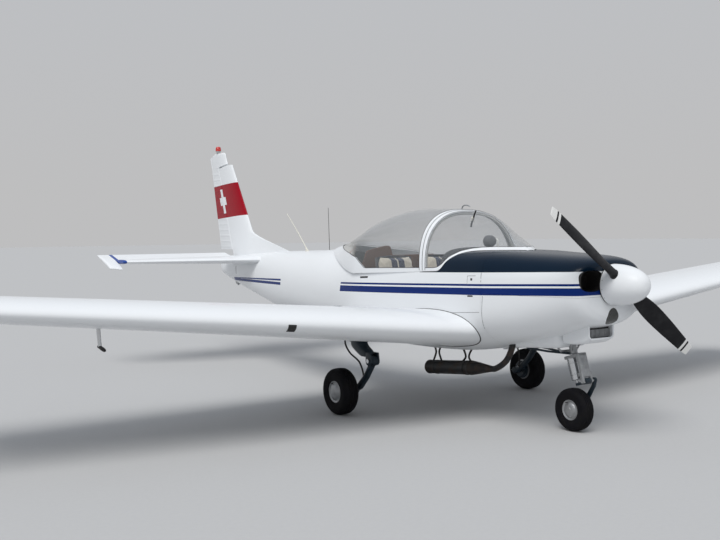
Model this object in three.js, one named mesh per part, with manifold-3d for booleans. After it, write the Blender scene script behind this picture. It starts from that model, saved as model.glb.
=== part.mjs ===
// A low-wing light aircraft with two seats side by side, a sliding canopy and fixed nose-wheel gear.
// Millimetres, +Z up, nose towards -Y, port wing towards +X. The ground is z = 0.
// A station is the distance behind the tip of the spinner.
import * as THREE from "three";
import { mergeVertices } from "three/addons/utils/BufferGeometryUtils.js";
import Module from "manifold-3d";

const wasm = await Module();
wasm.setup();

// Driving dimensions
const LENGTH = 7500;
const HALF_SPAN = 4875;
const GAP = 0.3;
const RUN = 7;

const PROP_DIAMETER = 1880;
const PROP_ANGLE = THREE.MathUtils.degToRad(53.9);
const THRUST_Z = 1184;
const PROP_STATION = 210;
const SPINNER = { radius: 158, length: 306, wall: 4 };

const COWL_FRONT = 318;
const FIREWALL = 1196;
const FIREWALL_THICK = 4;
const COWL_WALL = 6;
const HULL_WALL = 14;
const TAIL_JOINT = 4200;
const COWL_SPLIT_Z = 1096;

const BOW_STATION = 1954; // where the bow's plane passes the base of the canopy
const BOW_LEAN = 0.11; // aft for each mm up
const BOW_GAP = 6;
const CANOPY_BASE_Z = 1200;
const GLASS_WALL = 6;
const FRAME_WALL = 11;
const BAND = 38;

const WING = {
  root: { x: 400, nose: 1279, z: 774, chord: 1905, incidence: 3, thick: 0.165 },
  tip: { x: 4790, nose: 1850, z: 1158, chord: 1170, incidence: 1, thick: 0.14 },
};
const WING_HINGE = 0.775;
const FLAP_SPAN = [700, 2560];
const FLAP_SWING = 11;
// Extra room ahead of a wing hinge line for the lower skin of a flap that is fully down
const LIP_ROOM = 14;
const AILERON_SPAN = [2590, 4560];

const TAIL_Z = 1285;
const TAIL_HINGE = 6620;
const TAIL = {
  root: { x: 20, nose: 5723, aft: 6868 },
  tip: { x: 1800, nose: 6368, aft: 6872 },
};
const TAIL_HALF_SPAN = 1835;
const ELEVATOR_REST = THREE.MathUtils.degToRad(18);
const ELEVATOR_SPAN = [112, 1700];

const FIN = { low: 1300, top: 2541, noseLow: 6037, noseTop: 6818, halfLow: 52, halfTop: 29 };
const RUDDER_HINGE = { low: [6785, 1405], top: [7204, 2505] };
const RUDDER_AFT = { low: 7192, top: LENGTH };
const RUDDER_TOP_Z = 2713;

const MAIN_WHEEL = { x: 1125, station: 2417, radius: 205, width: 152, rim: 92 };
const NOSE_WHEEL = { x: 0, station: 717, radius: 172, width: 122, rim: 76 };
const LEG_X = 972;
const KNEE = [2135, 492];
const STEER_TOP = [712, 612];
const STEER_RAKE = THREE.MathUtils.degToRad(17.3);

const MUFFLER = { x: -200, front: [1475, 428], shoulder: [1710, 410], rear: [2330, 352], radius: 62 };

// Fuselage outline. Columns: station, top, height of the greatest width, bottom, half width,
// roundness above, roundness below (2 is an ellipse, more is squarer).
const HULL = [
  [318, 1350, 1150, 945, 290, 2.6, 2.3],
  [335, 1368, 1150, 905, 345, 2.8, 2.4],
  [380, 1386, 1145, 872, 380, 3.0, 2.5],
  [470, 1401, 1140, 846, 404, 3.2, 2.6],
  [650, 1413, 1120, 785, 443, 3.5, 2.7],
  [900, 1424, 1080, 716, 500, 4.0, 2.8],
  [1196, 1436, 1040, 655, 555, 4.8, 2.9],
  [1500, 1441, 1010, 592, 562, 5.4, 3.1],
  [1800, 1442, 980, 555, 564, 5.3, 3.2],
  [2400, 1442, 960, 535, 564, 4.0, 3.2],
  [3000, 1441, 950, 545, 545, 3.0, 3.0],
  [3400, 1440, 950, 562, 505, 2.3, 2.8],
  [3700, 1437, 955, 583, 470, 2.1, 2.6],
  [4100, 1430, 965, 612, 425, 2.1, 2.5],
  [4600, 1404, 985, 648, 365, 2.1, 2.4],
  [5294, 1391, 1010, 703, 275, 2.1, 2.3],
  [5807, 1374, 1045, 798, 205, 2.1, 2.2],
  [6241, 1360, 1085, 880, 145, 2.1, 2.2],
  [6600, 1344, 1125, 955, 97, 2.1, 2.2],
  [6771, 1334, 1145, 994, 76, 2.1, 2.2],
  [7120, 1290, 1190, 1092, 40, 2.1, 2.2],
  [7160, 1250, 1190, 1130, 22, 2.1, 2.2],
];

// Canopy and windscreen. Columns: station, top, half width at the base, roundness (2 is an ellipse).
const CANOPY = [
  [1195, 1440, 181, 2.2],
  [1240, 1460, 177, 2.2],
  [1290, 1484, 231, 2],
  [1360, 1514, 342, 1.8],
  [1440, 1546, 468, 1.65],
  [1590, 1624, 560, 1.65],
  [1730, 1696, 553, 1.9],
  [1900, 1764, 553, 2.4],
  [2109, 1809, 556, 2.7],
  [2332, 1824, 556, 2.6],
  [2588, 1824, 552, 2.45],
  [2811, 1798, 546, 2.35],
  [3050, 1752, 532, 2.25],
  [3130, 1732, 522, 2.2],
  [3288, 1686, 483, 2.1],
  [3480, 1618, 423, 2.1],
  [3665, 1550, 366, 2.1],
  [3809, 1506, 320, 2.2],
  [3950, 1476, 268, 2.4],
  [4040, 1461, 223, 2.6],
  [4092, 1453, 174, 2.6],
];

// Where the glazing meets the body, seen from the side, nose to tail. Columns: station, height.
const SILL = [
  [1100, 1446],
  [1440, 1445],
  [1590, 1420],
  [1660, 1346],
  [1730, 1266],
  [2038, 1251],
  [3050, 1209],
  [3130, 1209],
  [3240, 1224],
  [3405, 1252],
  [3665, 1317],
  [3889, 1380],
  [4030, 1411],
  [4110, 1434],
  [4200, 1500],
];

// Materials. Columns: colour, roughness, metalness.
const FINISHES = {
  whitePaint: [0xe9edf0, 0.3, 0],
  blackPaint: [0x121417, 0.45, 0],
  legPaint: [0x2b3946, 0.45, 0],
  silver: [0xb4b8bb, 0.35, 0.8],
  hubSilver: [0x8e9094, 0.45, 0.6],
  steel: [0x6f7377, 0.45, 0.8],
  rubber: [0x101114, 0.85, 0],
  soot: [0x17191d, 0.6, 0.3],
  glazing: [0xbfd0d6, 0.05, 0],
  seatCloth: [0xc9bda6, 0.9, 0],
  brownTrim: [0x6b4a36, 0.8, 0],
  cabinGrey: [0x3a3d40, 0.8, 0],
  lampGlass: [0xcfd6da, 0.1, 0],
  redGlass: [0xc01818, 0.2, 0],
};

const materials = {};
for (const [name, [color, roughness, metalness]] of Object.entries(FINISHES)) {
  materials[name] = new THREE.MeshStandardMaterial({ name, color, roughness, metalness });
}

const plane = new THREE.Group();

// The y of a station
const at = (station) => station - LENGTH / 2;

// Adds a solid to the aircraft as a named mesh.
function add(name, body, finish) {
  const { numProp, vertProperties, triVerts } = body.getMesh();
  const points = new Float32Array((vertProperties.length / numProp) * 3);
  for (let i = 0; i < points.length / 3; i++) {
    points.set(vertProperties.subarray(i * numProp, i * numProp + 3), i * 3);
  }
  const geometry = new THREE.BufferGeometry()
    .setAttribute("position", new THREE.BufferAttribute(points, 3))
    .setIndex(new THREE.BufferAttribute(triVerts, 1));
  const mesh = new THREE.Mesh(geometry, materials[finish]);
  mesh.name = name;
  plane.add(mesh);
  return body;
}

// A closed surface as a solid, turned outwards if its profile ran the other way.
function solid(geometry) {
  const bare = geometry.index ? geometry.toNonIndexed() : geometry.clone();
  bare.deleteAttribute("normal");
  bare.deleteAttribute("uv");
  const merged = mergeVertices(bare, 1e-3);
  const vertProperties = merged.attributes.position.array;
  const triVerts = new Uint32Array(merged.index.array);
  const corner = (i) => new THREE.Vector3().fromArray(vertProperties, triVerts[i] * 3);
  let volume = 0;
  for (let i = 0; i < triVerts.length; i += 3) {
    volume += corner(i).dot(corner(i + 1).cross(corner(i + 2)));
  }
  if (volume < 0) triVerts.reverse();
  return new wasm.Manifold(new wasm.Mesh({ numProp: 3, vertProperties, triVerts }));
}

// A solid through rings that hold the same number of [x, station, z] points, closed at both ends.
function loft(rings) {
  const points = rings.map((ring) => ring.map(([x, station, z]) => [x, at(station), z]));
  const count = points[0].length;
  const triangles = [];
  const middle = (ring) => ring[0].map((_, k) => ring.reduce((sum, p) => sum + p[k], 0) / count);
  for (let r = 0; r + 1 < points.length; r++) {
    for (let i = 0; i < count; i++) {
      const j = (i + 1) % count;
      triangles.push(points[r][i], points[r + 1][i], points[r][j]);
      triangles.push(points[r][j], points[r + 1][i], points[r + 1][j]);
    }
  }
  const first = points[0];
  const last = points[points.length - 1];
  for (let i = 0; i < count; i++) {
    const j = (i + 1) % count;
    triangles.push(middle(first), first[i], first[j]);
    triangles.push(middle(last), last[j], last[i]);
  }
  const position = new THREE.Float32BufferAttribute(triangles.flat(), 3);
  return solid(new THREE.BufferGeometry().setAttribute("position", position));
}

// A box between two corners given as [x, station, z].
function box(low, high) {
  const size = high.map((value, k) => value - low[k]);
  const geometry = new THREE.BoxGeometry(...size);
  const centre = high.map((value, k) => (value + low[k]) / 2);
  return solid(geometry.translate(centre[0], at(centre[1]), centre[2]));
}

// A side-view outline of [station, z] points, carried across from x = low to x = high.
function slab(outline, low, high) {
  const shape = new THREE.Shape(outline.map(([station, z]) => new THREE.Vector2(at(station), z)));
  const geometry = new THREE.ExtrudeGeometry(shape, { depth: high - low, bevelEnabled: false });
  const basis = new THREE.Matrix4().makeBasis(
    new THREE.Vector3(0, 1, 0),
    new THREE.Vector3(0, 0, 1),
    new THREE.Vector3(1, 0, 0),
  );
  return solid(geometry.applyMatrix4(basis).translate(low, 0, 0));
}

// A round bar between two [x, station, z] points, its end radii given.
function bar(from, to, radius, endRadius = radius, sides = 16) {
  const a = new THREE.Vector3(from[0], at(from[1]), from[2]);
  const b = new THREE.Vector3(to[0], at(to[1]), to[2]);
  const geometry = new THREE.CylinderGeometry(endRadius, radius, a.distanceTo(b), sides);
  const turn = new THREE.Quaternion().setFromUnitVectors(
    new THREE.Vector3(0, 1, 0),
    b.clone().sub(a).normalize(),
  );
  const place = new THREE.Matrix4().compose(a.add(b).multiplyScalar(0.5), turn, new THREE.Vector3(1, 1, 1));
  return solid(geometry.applyMatrix4(place));
}

// A round tube through [x, station, z] points.
function tube(route, radius, sides = 6, steps = 12) {
  const path = new THREE.CatmullRomCurve3(route.map(([x, station, z]) => new THREE.Vector3(x, at(station), z)));
  const circle = new THREE.Shape();
  for (let i = 0; i < sides; i++) {
    const turn = (i / sides) * 2 * Math.PI;
    circle[i ? "lineTo" : "moveTo"](radius * Math.cos(turn), radius * Math.sin(turn));
  }
  return solid(new THREE.ExtrudeGeometry(circle, { steps, extrudePath: path, bevelEnabled: false }));
}

const join = (...bodies) => bodies.reduce((sum, body) => sum.add(body));
const mirrored = (body) => body.mirror([1, 0, 0]);

// A value between the rows of a table, on a smooth curve through them.
function row(table, station) {
  const last = table.length - 1;
  let i = table.findIndex((entry) => entry[0] > station) - 1;
  if (i < 0) i = station <= table[0][0] ? 0 : last - 1;
  const span = table[i + 1][0] - table[i][0];
  const t = (station - table[i][0]) / span;
  const slope = (k, column) => {
    const a = table[Math.max(k - 1, 0)];
    const b = table[Math.min(k + 1, last)];
    return (b[column] - a[column]) / (b[0] - a[0]);
  };
  return table[i].map((from, column) => {
    const to = table[i + 1][column];
    const start = slope(i, column) * span;
    const end = slope(i + 1, column) * span;
    const bend = (2 * from - 2 * to + start + end) * t ** 3;
    return bend + (3 * to - 3 * from - 2 * start - end) * t ** 2 + start * t + from;
  });
}

// One ring of the body, with its wall taken off all round.
function hullRing(station, inset = 0, count = 24) {
  const [, top, wide, low, half, above, below] = row(HULL, station);
  const ring = [];
  for (let i = 0; i < count; i++) {
    const turn = (i / count) * 2 * Math.PI;
    const power = 2 / (Math.sin(turn) >= 0 ? above : below);
    const height = (Math.sin(turn) >= 0 ? top - wide : wide - low) - inset;
    const x = Math.sign(Math.cos(turn)) * Math.abs(Math.cos(turn)) ** power * (half - inset);
    const z = Math.sign(Math.sin(turn)) * Math.abs(Math.sin(turn)) ** power * height;
    ring.push([x, station, wide + z]);
  }
  return ring;
}

const hullLoft = (stations, inset) => loft(stations.map((station) => hullRing(station, inset)));

// One ring of the canopy bubble, open side down and carried below the sill.
function canopyRing(station, inset, floor, count = 14) {
  const [, top, half, roundness] = row(CANOPY, station);
  const power = 2 / roundness;
  const ring = [];
  for (let i = 0; i <= count; i++) {
    const turn = (i / count) * Math.PI;
    const x = Math.sign(Math.cos(turn)) * Math.abs(Math.cos(turn)) ** power * Math.max(half - inset, 6);
    const z = Math.abs(Math.sin(turn)) ** power * Math.max(top - CANOPY_BASE_Z - inset, 6);
    ring.push([x, station, CANOPY_BASE_Z + z]);
  }
  ring.push([ring[count][0], station, floor]);
  ring.push([ring[0][0], station, floor]);
  return ring;
}

const bowAt = (z, shift) => BOW_STATION + BOW_LEAN * (z - CANOPY_BASE_Z) + shift;
const screenStations = [1195, 1240, 1290, 1360, 1440, 1590, 1730, 1900, 2109];
const canopyStations = [1900, 2109, 2332, 2588, 2811, 3050, 3130, 3288, 3480, 3665, 3809, 3950, 4040, 4092];
const bubble = (stations, inset, floor) => loft(stations.map((station) => canopyRing(station, inset, floor)));

// Hull
const cowlStations = [COWL_FRONT, 335, 380, 470, 650, 900, FIREWALL];
const bodyStations = HULL.map(([station]) => station).filter((station) => station >= FIREWALL);
const hullGrown = hullLoft([...cowlStations, ...bodyStations.slice(1)], -GAP);

const sillCut = slab([...SILL, [4200, 2100], [1100, 2100]], -700, 700);
const bodyInside = [FIREWALL - 20, 1500, 1800, 2400, 3000, 3400, 3700, 4100, 4600, 5294, 5807, 6241];

// Tail surfaces: half thickness of a symmetric section at a fraction of its chord.
function foilHalf(u, thick) {
  const curve = 0.2969 * Math.sqrt(u) - 0.126 * u - 0.3516 * u ** 2 + 0.2843 * u ** 3 - 0.1036 * u ** 4;
  return 5 * thick * curve;
}
const FOIL_STEPS = [0.012, 0.05, 0.13, 0.27, 0.45, 0.62, 0.78, 0.9];
const TRAILING = 2.5;

// A closed section: [along, out] pairs from the trailing edge over the top to the nose and back.
function foilOutline(chord, thick, camber = 0, from = 0) {
  const mean = (u) => camber * chord * 4 * u * (1 - u);
  const steps = FOIL_STEPS.filter((u) => u > from);
  const upper = steps.map((u) => [u * chord, mean(u) + foilHalf(u, thick) * chord]).reverse();
  const lower = steps.map((u) => [u * chord, mean(u) - foilHalf(u, thick) * chord]);
  return [[chord, TRAILING], ...upper, [0, 0], ...lower, [chord, -TRAILING]];
}

// A moving surface's section: round nose about its hinge, then back to the trailing edge.
function flapOutline(nose, aft, chord, thick, camber = 0) {
  const mean = (u) => camber * chord * 4 * u * (1 - u);
  const radius = foilHalf(nose, thick) * chord;
  const near = [0.9 * chord, mean(0.9)];
  const out = foilHalf(0.9, thick) * chord;
  const ring = [[aft * chord, TRAILING], [near[0], near[1] + out]];
  for (let i = 0; i <= 8; i++) {
    const turn = Math.PI / 2 + (i / 8) * Math.PI;
    ring.push([nose * chord + radius * Math.cos(turn), mean(nose) + radius * Math.sin(turn)]);
  }
  ring.push([near[0], near[1] - out], [aft * chord, -TRAILING]);
  return ring;
}

// Wing
const CAMBER = 0.014;
function wingStation(x) {
  const { root, tip } = WING;
  const t = (x - root.x) / (tip.x - root.x);
  const mix = (key) => root[key] + (tip[key] - root[key]) * t;
  return { x, nose: mix("nose"), z: mix("z"), chord: mix("chord"), incidence: mix("incidence"), thick: mix("thick") };
}
function placeOnWing(section, outline) {
  const turn = THREE.MathUtils.degToRad(section.incidence);
  return outline.map(([along, out]) => [
    section.x,
    section.nose + along * Math.cos(turn) + out * Math.sin(turn),
    section.z - along * Math.sin(turn) + out * Math.cos(turn),
  ]);
}
function wingRing(x, chordShare = 1, thickShare = 1) {
  const section = wingStation(x);
  const outline = foilOutline(section.chord, section.thick, CAMBER);
  const anchor = 0.35 * section.chord;
  return placeOnWing(
    section,
    outline.map(([along, out]) => [anchor + (along - anchor) * chordShare, out * thickShare]),
  );
}
const hingeOnWing = (x) => {
  const section = wingStation(x);
  const mean = CAMBER * section.chord * 4 * WING_HINGE * (1 - WING_HINGE);
  return placeOnWing(section, [[WING_HINGE * section.chord, mean]])[0];
};
function flapBody([inner, outer], swing = 0) {
  const rings = [inner, outer - swing].map((x) => {
    const section = wingStation(x);
    return placeOnWing(section, flapOutline(WING_HINGE, 1, section.chord, section.thick, CAMBER));
  });
  return loft(rings);
}
function flapBay([inner, outer]) {
  const ends = [inner - RUN, outer + RUN];
  const cove = ends.map((x) => {
    const section = wingStation(x);
    const radius = foilHalf(WING_HINGE, section.thick) * section.chord + RUN;
    const mean = CAMBER * section.chord * 4 * WING_HINGE * (1 - WING_HINGE);
    const ring = [];
    for (let i = 0; i < 16; i++) {
      const turn = ((i + 0.5) / 16) * 2 * Math.PI;
      ring.push([WING_HINGE * section.chord + radius * Math.cos(turn), mean + radius * Math.sin(turn)]);
    }
    return placeOnWing(section, ring);
  });
  const behind = ends.map((x) => {
    const section = wingStation(x);
    const near = WING_HINGE * section.chord - LIP_ROOM;
    const far = 1.06 * section.chord;
    return placeOnWing(section, [[far, 220], [near, 220], [near, -220], [far, -220]]);
  });
  return join(loft(cove), loft(behind));
}
// Pins on a bay's end walls, on the hinge line, that reach into the flap's ends
const HINGE_PIN = { radius: 8, reach: 22 };
function hingePins([inner, outer], grow = 0) {
  const radius = HINGE_PIN.radius + grow;
  const { reach } = HINGE_PIN;
  return join(
    bar(hingeOnWing(inner - RUN - 12), hingeOnWing(inner + reach + grow), radius, radius, 12),
    bar(hingeOnWing(outer - reach - grow), hingeOnWing(outer + RUN + 12), radius, radius, 12),
  );
}
const wingBody = loft([
  wingRing(WING.root.x),
  wingRing(WING.tip.x),
  wingRing(HALF_SPAN - 22, 0.97, 0.72),
  wingRing(HALF_SPAN, 0.86, 0.22),
]);
const jackPad = box([1190, 2060, 688], [1260, 2130, 760]);
const portWing = join(wingBody, jackPad)
  .subtract(flapBay(FLAP_SPAN))
  .subtract(flapBay(AILERON_SPAN))
  .add(hingePins(FLAP_SPAN))
  .add(hingePins(AILERON_SPAN));
const portFlap = flapBody(FLAP_SPAN, FLAP_SWING).subtract(hingePins(FLAP_SPAN, GAP));
const portAileron = flapBody(AILERON_SPAN).subtract(hingePins(AILERON_SPAN, GAP));
const SIDES = [["left", (body) => body], ["right", mirrored]];
for (const [side, turn] of SIDES) {
  add("wing_" + side, turn(portWing).subtract(hullGrown), "whitePaint");
  add("flap_" + side, turn(portFlap), "whitePaint");
  add("aileron_" + side, turn(portAileron), "whitePaint");
}

// Station of the rudder's hinge line at a height
const tilt = (z) => {
  const { low, top } = RUDDER_HINGE;
  return low[0] + ((z - low[1]) / (top[1] - low[1])) * (top[0] - low[0]);
};

// Fuselage: cowling, firewall and the shell behind it
const intake = (side) => {
  const rings = [296, 560].map((station) => {
    const ring = [];
    for (let i = 0; i < 16; i++) {
      const turn = (i / 16) * 2 * Math.PI;
      const x = Math.sign(Math.cos(turn)) * Math.abs(Math.cos(turn)) ** 0.7 * 98;
      const z = Math.sign(Math.sin(turn)) * Math.abs(Math.sin(turn)) ** 0.7 * 72;
      ring.push([side * 274 + x, station, 1212 + z]);
    }
    return ring;
  });
  return loft(rings);
};
const shaftHole = bar([0, 290, THRUST_Z], [0, 420, THRUST_Z], 96, 96, 24);
const cowl = hullLoft(cowlStations.slice(0, -1).concat(FIREWALL - GAP), 0)
  .subtract(hullLoft([COWL_FRONT + 8, 345, 380, 470, 650, 900, FIREWALL + 5], COWL_WALL))
  .subtract(join(intake(1), intake(-1), shaftHole));
const aboveSplit = box([-700, 250, COWL_SPLIT_Z], [700, 1300, 1600]);
add("cowling_upper", cowl.intersect(aboveSplit), "whitePaint");
const belowSplit = box([-700, 250, 500], [700, 1300, COWL_SPLIT_Z - GAP]);
const lampAxis = [[0, 266, 864], [0, 366, 964]];
add("cowling_lower", cowl.intersect(belowSplit).subtract(bar(...lampAxis, 67.4, 67.4, 20)), "whitePaint");
add("landing_light", bar(...lampAxis, 66.4, 66.4, 20).intersect(hullLoft(cowlStations, 2)), "lampGlass");

const firewallSlice = box([-700, FIREWALL + GAP, 500], [700, FIREWALL + FIREWALL_THICK, 1600]);
const firewall = hullLoft(bodyInside, HULL_WALL + GAP).intersect(firewallSlice);
add("firewall", firewall, "steel");

const ELEVATOR_TUBE = 16;
const TUBE_CLEAR = 1;
const tailAxis = (x, grow) => bar([-x, TAIL_HINGE, TAIL_Z], [x, TAIL_HINGE, TAIL_Z], ELEVATOR_TUBE + grow);
const RUDDER_PIN = 9;
const rudderPin = (from, to, grow) => bar([0, tilt(from), from], [0, tilt(to), to], RUDDER_PIN + grow);
const cabinInside = hullLoft(bodyInside, HULL_WALL + GAP);
// Opening in the deck under the windscreen
const screenWell = bubble(screenStations.slice(2, -1), FRAME_WALL + 9, 1150);
const shell = hullLoft(bodyStations, 0)
  .subtract(hullLoft(bodyInside, HULL_WALL))
  .subtract(join(sillCut, screenWell))
  .subtract(tailAxis(200, TUBE_CLEAR))
  .add(rudderPin(1300, 1430, 0));
const hullCut = (from, to) => shell.intersect(box([-700, from, 400], [700, to, 1600]));
add("fuselage", hullCut(FIREWALL, TAIL_JOINT - GAP), "whitePaint");
add("tail_cone", hullCut(TAIL_JOINT, LENGTH), "whitePaint");
add("elevator_tube", tailAxis(ELEVATOR_SPAN[0] - GAP, 0), "steel");

// Engine: one block of its real size, with its crankshaft
const engineRoom = hullLoft([COWL_FRONT + 8, 345, 380, 470, 650, 900, FIREWALL + 5], 45);
const engine = join(
  box([-370, 490, 935], [370, 1150, 1340]).intersect(engineRoom),
  bar([0, SPINNER.length - 4 + GAP, THRUST_Z], [0, 500, THRUST_Z], 60, 60, 20),
  ...[[-300, 1000], [300, 1000], [-260, 1290], [260, 1290]].map(([x, z]) => bar([x, 1140, z], [x, FIREWALL, z], 18, 18, 8)),
);
add("engine_block", engine, "steel");

// Glazing
function shellPair(stations) {
  const outer = bubble(stations, 0, 1150);
  const ends = [stations[0] - 1, ...stations.slice(1, -1), stations[stations.length - 1] + 1];
  return [outer.subtract(bubble(ends, FRAME_WALL, 1100)), outer.subtract(bubble(ends, GLASS_WALL, 1100))];
}
const lifted = (dz) => SILL.map(([station, z]) => [station, z + dz]);
const aboveSill = (dz) => slab([...lifted(dz), [4200, 2100], [1100, 2100]], -700, 700);
const clearSill = aboveSill(0.6);
const screenWindow = slab(
  [[1150, 1470], [1440, 1470], [1520, 1458], [1590, 1438], [1660, 1388], [1725, 1326], [1790, 1300],
    [bowAt(1290, -BAND), 1290], [bowAt(2100, -BAND), 2100], [1150, 2100]],
  -700,
  700,
);
const canopyWindow = slab(
  [[bowAt(1290, BOW_GAP + BAND), 1290], [3050, 1256], [3120, 1262], [3210, 1330], [3330, 1392], [3700, 1460],
    [3960, 1476], [4000, 2100], [bowAt(2100, BOW_GAP + BAND), 2100]],
  -700,
  700,
);
const aheadOfBow = slab([[1000, 1050], [bowAt(1050, 0), 1050], [bowAt(2100, 0), 2100], [1000, 2100]], -700, 700);
const behindBow = slab(
  [[bowAt(1050, BOW_GAP), 1050], [4300, 1050], [4300, 2100], [bowAt(2100, BOW_GAP), 2100]],
  -700,
  700,
);
const [screenFrame, screenGlass] = shellPair(screenStations).map((piece) => piece.intersect(aheadOfBow));
const [canopyFrame, canopyGlass] = shellPair(canopyStations).map((piece) => piece.intersect(behindBow));
const hullBelow = join(hullGrown.subtract(clearSill), box([-700, 1100, 1100], [700, 2100, 1240]));
add("windscreen_frame", screenFrame.subtract(join(hullBelow, screenWindow)), "whitePaint");
add("windscreen_glass", screenGlass.intersect(screenWindow.translate([0, 0, GAP])), "glazing");
add("canopy_frame", canopyFrame.intersect(clearSill).subtract(canopyWindow), "whitePaint");
add("canopy_glass", canopyGlass.intersect(canopyWindow.translate([0, GAP / 2, GAP])), "glazing");

// Tail: fin with its dorsal fillet, rudder, tailplane and elevator
const finMix = (z, low, top) => low + ((z - FIN.low) / (FIN.top - FIN.low)) * (top - low);
const finNose = (z) => finMix(z, FIN.noseLow, FIN.noseTop);
const finHalf = (z) => finMix(z, FIN.halfLow, FIN.halfTop);
const rudderAft = (z) => {
  const { low, top } = RUDDER_AFT;
  return low + ((z - RUDDER_HINGE.low[1]) / (RUDDER_TOP_Z - RUDDER_HINGE.low[1])) * (top - low);
};
function finRing(z) {
  const chord = rudderAft(z) - finNose(z);
  const thick = finHalf(z) / chord / 0.5;
  return foilOutline(chord, thick).map(([along, out]) => [out, finNose(z) + along, z]);
}
const rudderHalf = (z) => {
  const chord = rudderAft(z) - finNose(z);
  return foilHalf((tilt(z) - finNose(z)) / chord, finHalf(z) / chord / 0.5) * chord;
};
function rudderRing(z) {
  const half = rudderHalf(z);
  const ring = [[TRAILING, rudderAft(z), z]];
  for (let i = 0; i <= 8; i++) {
    const turn = (i / 8) * Math.PI;
    ring.push([half * Math.cos(turn), tilt(z) - half * Math.sin(turn), z]);
  }
  ring.push([-TRAILING, rudderAft(z), z]);
  return ring;
}
function coveRing(z, clear) {
  const half = rudderHalf(z) + clear;
  const ring = [];
  for (let i = 0; i <= 10; i++) {
    const turn = (i / 10) * Math.PI;
    ring.push([half * Math.cos(turn), tilt(z) - half * Math.sin(turn), z]);
  }
  ring.push([-half - 60, tilt(z), z], [-half - 60, 7700, z], [half + 60, 7700, z], [half + 60, tilt(z), z]);
  return ring;
}
const finTopCut = slab([[6700, 2545], [6900, 2540], [7300, 2488], [7300, 2900], [6700, 2900]], -200, 200);
const dorsal = loft([
  [[-14, 5300, 1372], [-3, 5300, 1391], [3, 5300, 1391], [14, 5300, 1372]],
  [[-44, 5900, 1345], [-6, 5900, 1521], [6, 5900, 1521], [44, 5900, 1345]],
  [[-58, 6300, 1320], [-22, 6300, 1630], [22, 6300, 1630], [58, 6300, 1320]],
  [[-40, 6560, 1320], [-30, 6560, 1630], [30, 6560, 1630], [40, 6560, 1320]],
]);
const fin = join(loft([1300, 1630, 2090, 2560].map(finRing)), dorsal)
  .subtract(loft([1280, 2600].map((z) => coveRing(z, 8))))
  .subtract(finTopCut)
  .subtract(hullGrown);
add("fin", fin, "whitePaint");

const hornCut = slab([[6800, 2558], [6900, 2556], [7214, 2514], [7214, 2300], [6800, 2300]], -200, 200);
const horn = loft(
  [[2490, 6928, 7449, 27], [2640, 6999, 7484, 24], [2700, 7028, LENGTH, 20], [RUDDER_TOP_Z, 7060, 7488, 8]].map(
    ([z, nose, aft, half]) =>
      foilOutline(aft - nose, half / (aft - nose) / 0.5).map(([along, out]) => [out, nose + along, z]),
  ),
).subtract(hornCut);
const rudder = join(loft([RUDDER_HINGE.low[1], 1960, 2520].map(rudderRing)), horn).subtract(
  rudderPin(1380, 1432, GAP),
);
add("rudder", rudder, "whitePaint");
const beaconSeat = RUDDER_TOP_Z + GAP;
const beacon = join(
  bar([0, 7300, beaconSeat], [0, 7300, beaconSeat + 34], 24, 24),
  bar([0, 7300, beaconSeat + 30], [0, 7300, 2810], 38, 30),
);
add("beacon", beacon, "redGlass");

function tailSection(x) {
  const { root, tip } = TAIL;
  const t = (x - root.x) / (tip.x - root.x);
  const nose = root.nose + t * (tip.nose - root.nose);
  const aft = root.aft + t * (tip.aft - root.aft);
  return { x, nose, chord: aft - nose, thick: 0.095 };
}
const tailRing = (x, share = 1) => {
  const { nose, chord, thick } = tailSection(x);
  return foilOutline(chord, thick * share).map(([along, out]) => [x, nose + along, TAIL_Z + out]);
};
const tailHingeHalf = (x) => {
  const { nose, chord, thick } = tailSection(x);
  return foilHalf((TAIL_HINGE - nose) / chord, thick) * chord;
};
function elevatorRing(x) {
  const { nose, chord } = tailSection(x);
  const half = tailHingeHalf(x);
  const ring = [[x, nose + chord, TAIL_Z + TRAILING]];
  for (let i = 0; i <= 8; i++) {
    const turn = Math.PI / 2 + (i / 8) * Math.PI;
    ring.push([x, TAIL_HINGE + half * Math.cos(turn), TAIL_Z + half * Math.sin(turn)]);
  }
  ring.push([x, nose + chord, TAIL_Z - TRAILING]);
  return ring;
}
function tailCove(inner, outer) {
  const rings = [inner, outer].map((x) => {
    const half = tailHingeHalf(x) + RUN;
    const ring = [];
    for (let i = 0; i <= 10; i++) {
      const turn = Math.PI / 2 + (i / 10) * Math.PI;
      ring.push([x, TAIL_HINGE + half * Math.cos(turn), TAIL_Z + half * Math.sin(turn)]);
    }
    const far = half + 60;
    const back = [[TAIL_HINGE, -far], [7000, -far], [7000, far], [TAIL_HINGE, far]];
    return ring.concat(back.map(([station, dz]) => [x, station, TAIL_Z + dz]));
  });
  return loft(rings);
}
const fixedTip = ELEVATOR_SPAN[1] - RUN;
const portTailplane = loft([tailRing(30), tailRing(fixedTip - 20), tailRing(fixedTip, 0.75)])
  .subtract(tailCove(20, TAIL_HALF_SPAN + 20));
const hornTip = join(
  loft([elevatorRing(ELEVATOR_SPAN[0]), elevatorRing(ELEVATOR_SPAN[1] + 10)]),
  loft([tailRing(ELEVATOR_SPAN[1]), tailRing(TAIL_HALF_SPAN - 20), tailRing(TAIL_HALF_SPAN, 0.6)]),
);
// Turns a body about the elevator's hinge line, trailing edge up.
function raised(body, angle) {
  const turn = new THREE.Matrix4()
    .makeTranslation(0, at(TAIL_HINGE), TAIL_Z)
    .multiply(new THREE.Matrix4().makeRotationX(angle))
    .multiply(new THREE.Matrix4().makeTranslation(0, -at(TAIL_HINGE), -TAIL_Z));
  return body.transform(turn.elements);
}
const portElevator = raised(hornTip, ELEVATOR_REST);
for (const [side, turn] of SIDES) {
  add("tailplane_" + side, turn(portTailplane).subtract(hullGrown), "whitePaint");
  add("elevator_" + side, turn(portElevator), "whitePaint");
}

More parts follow.
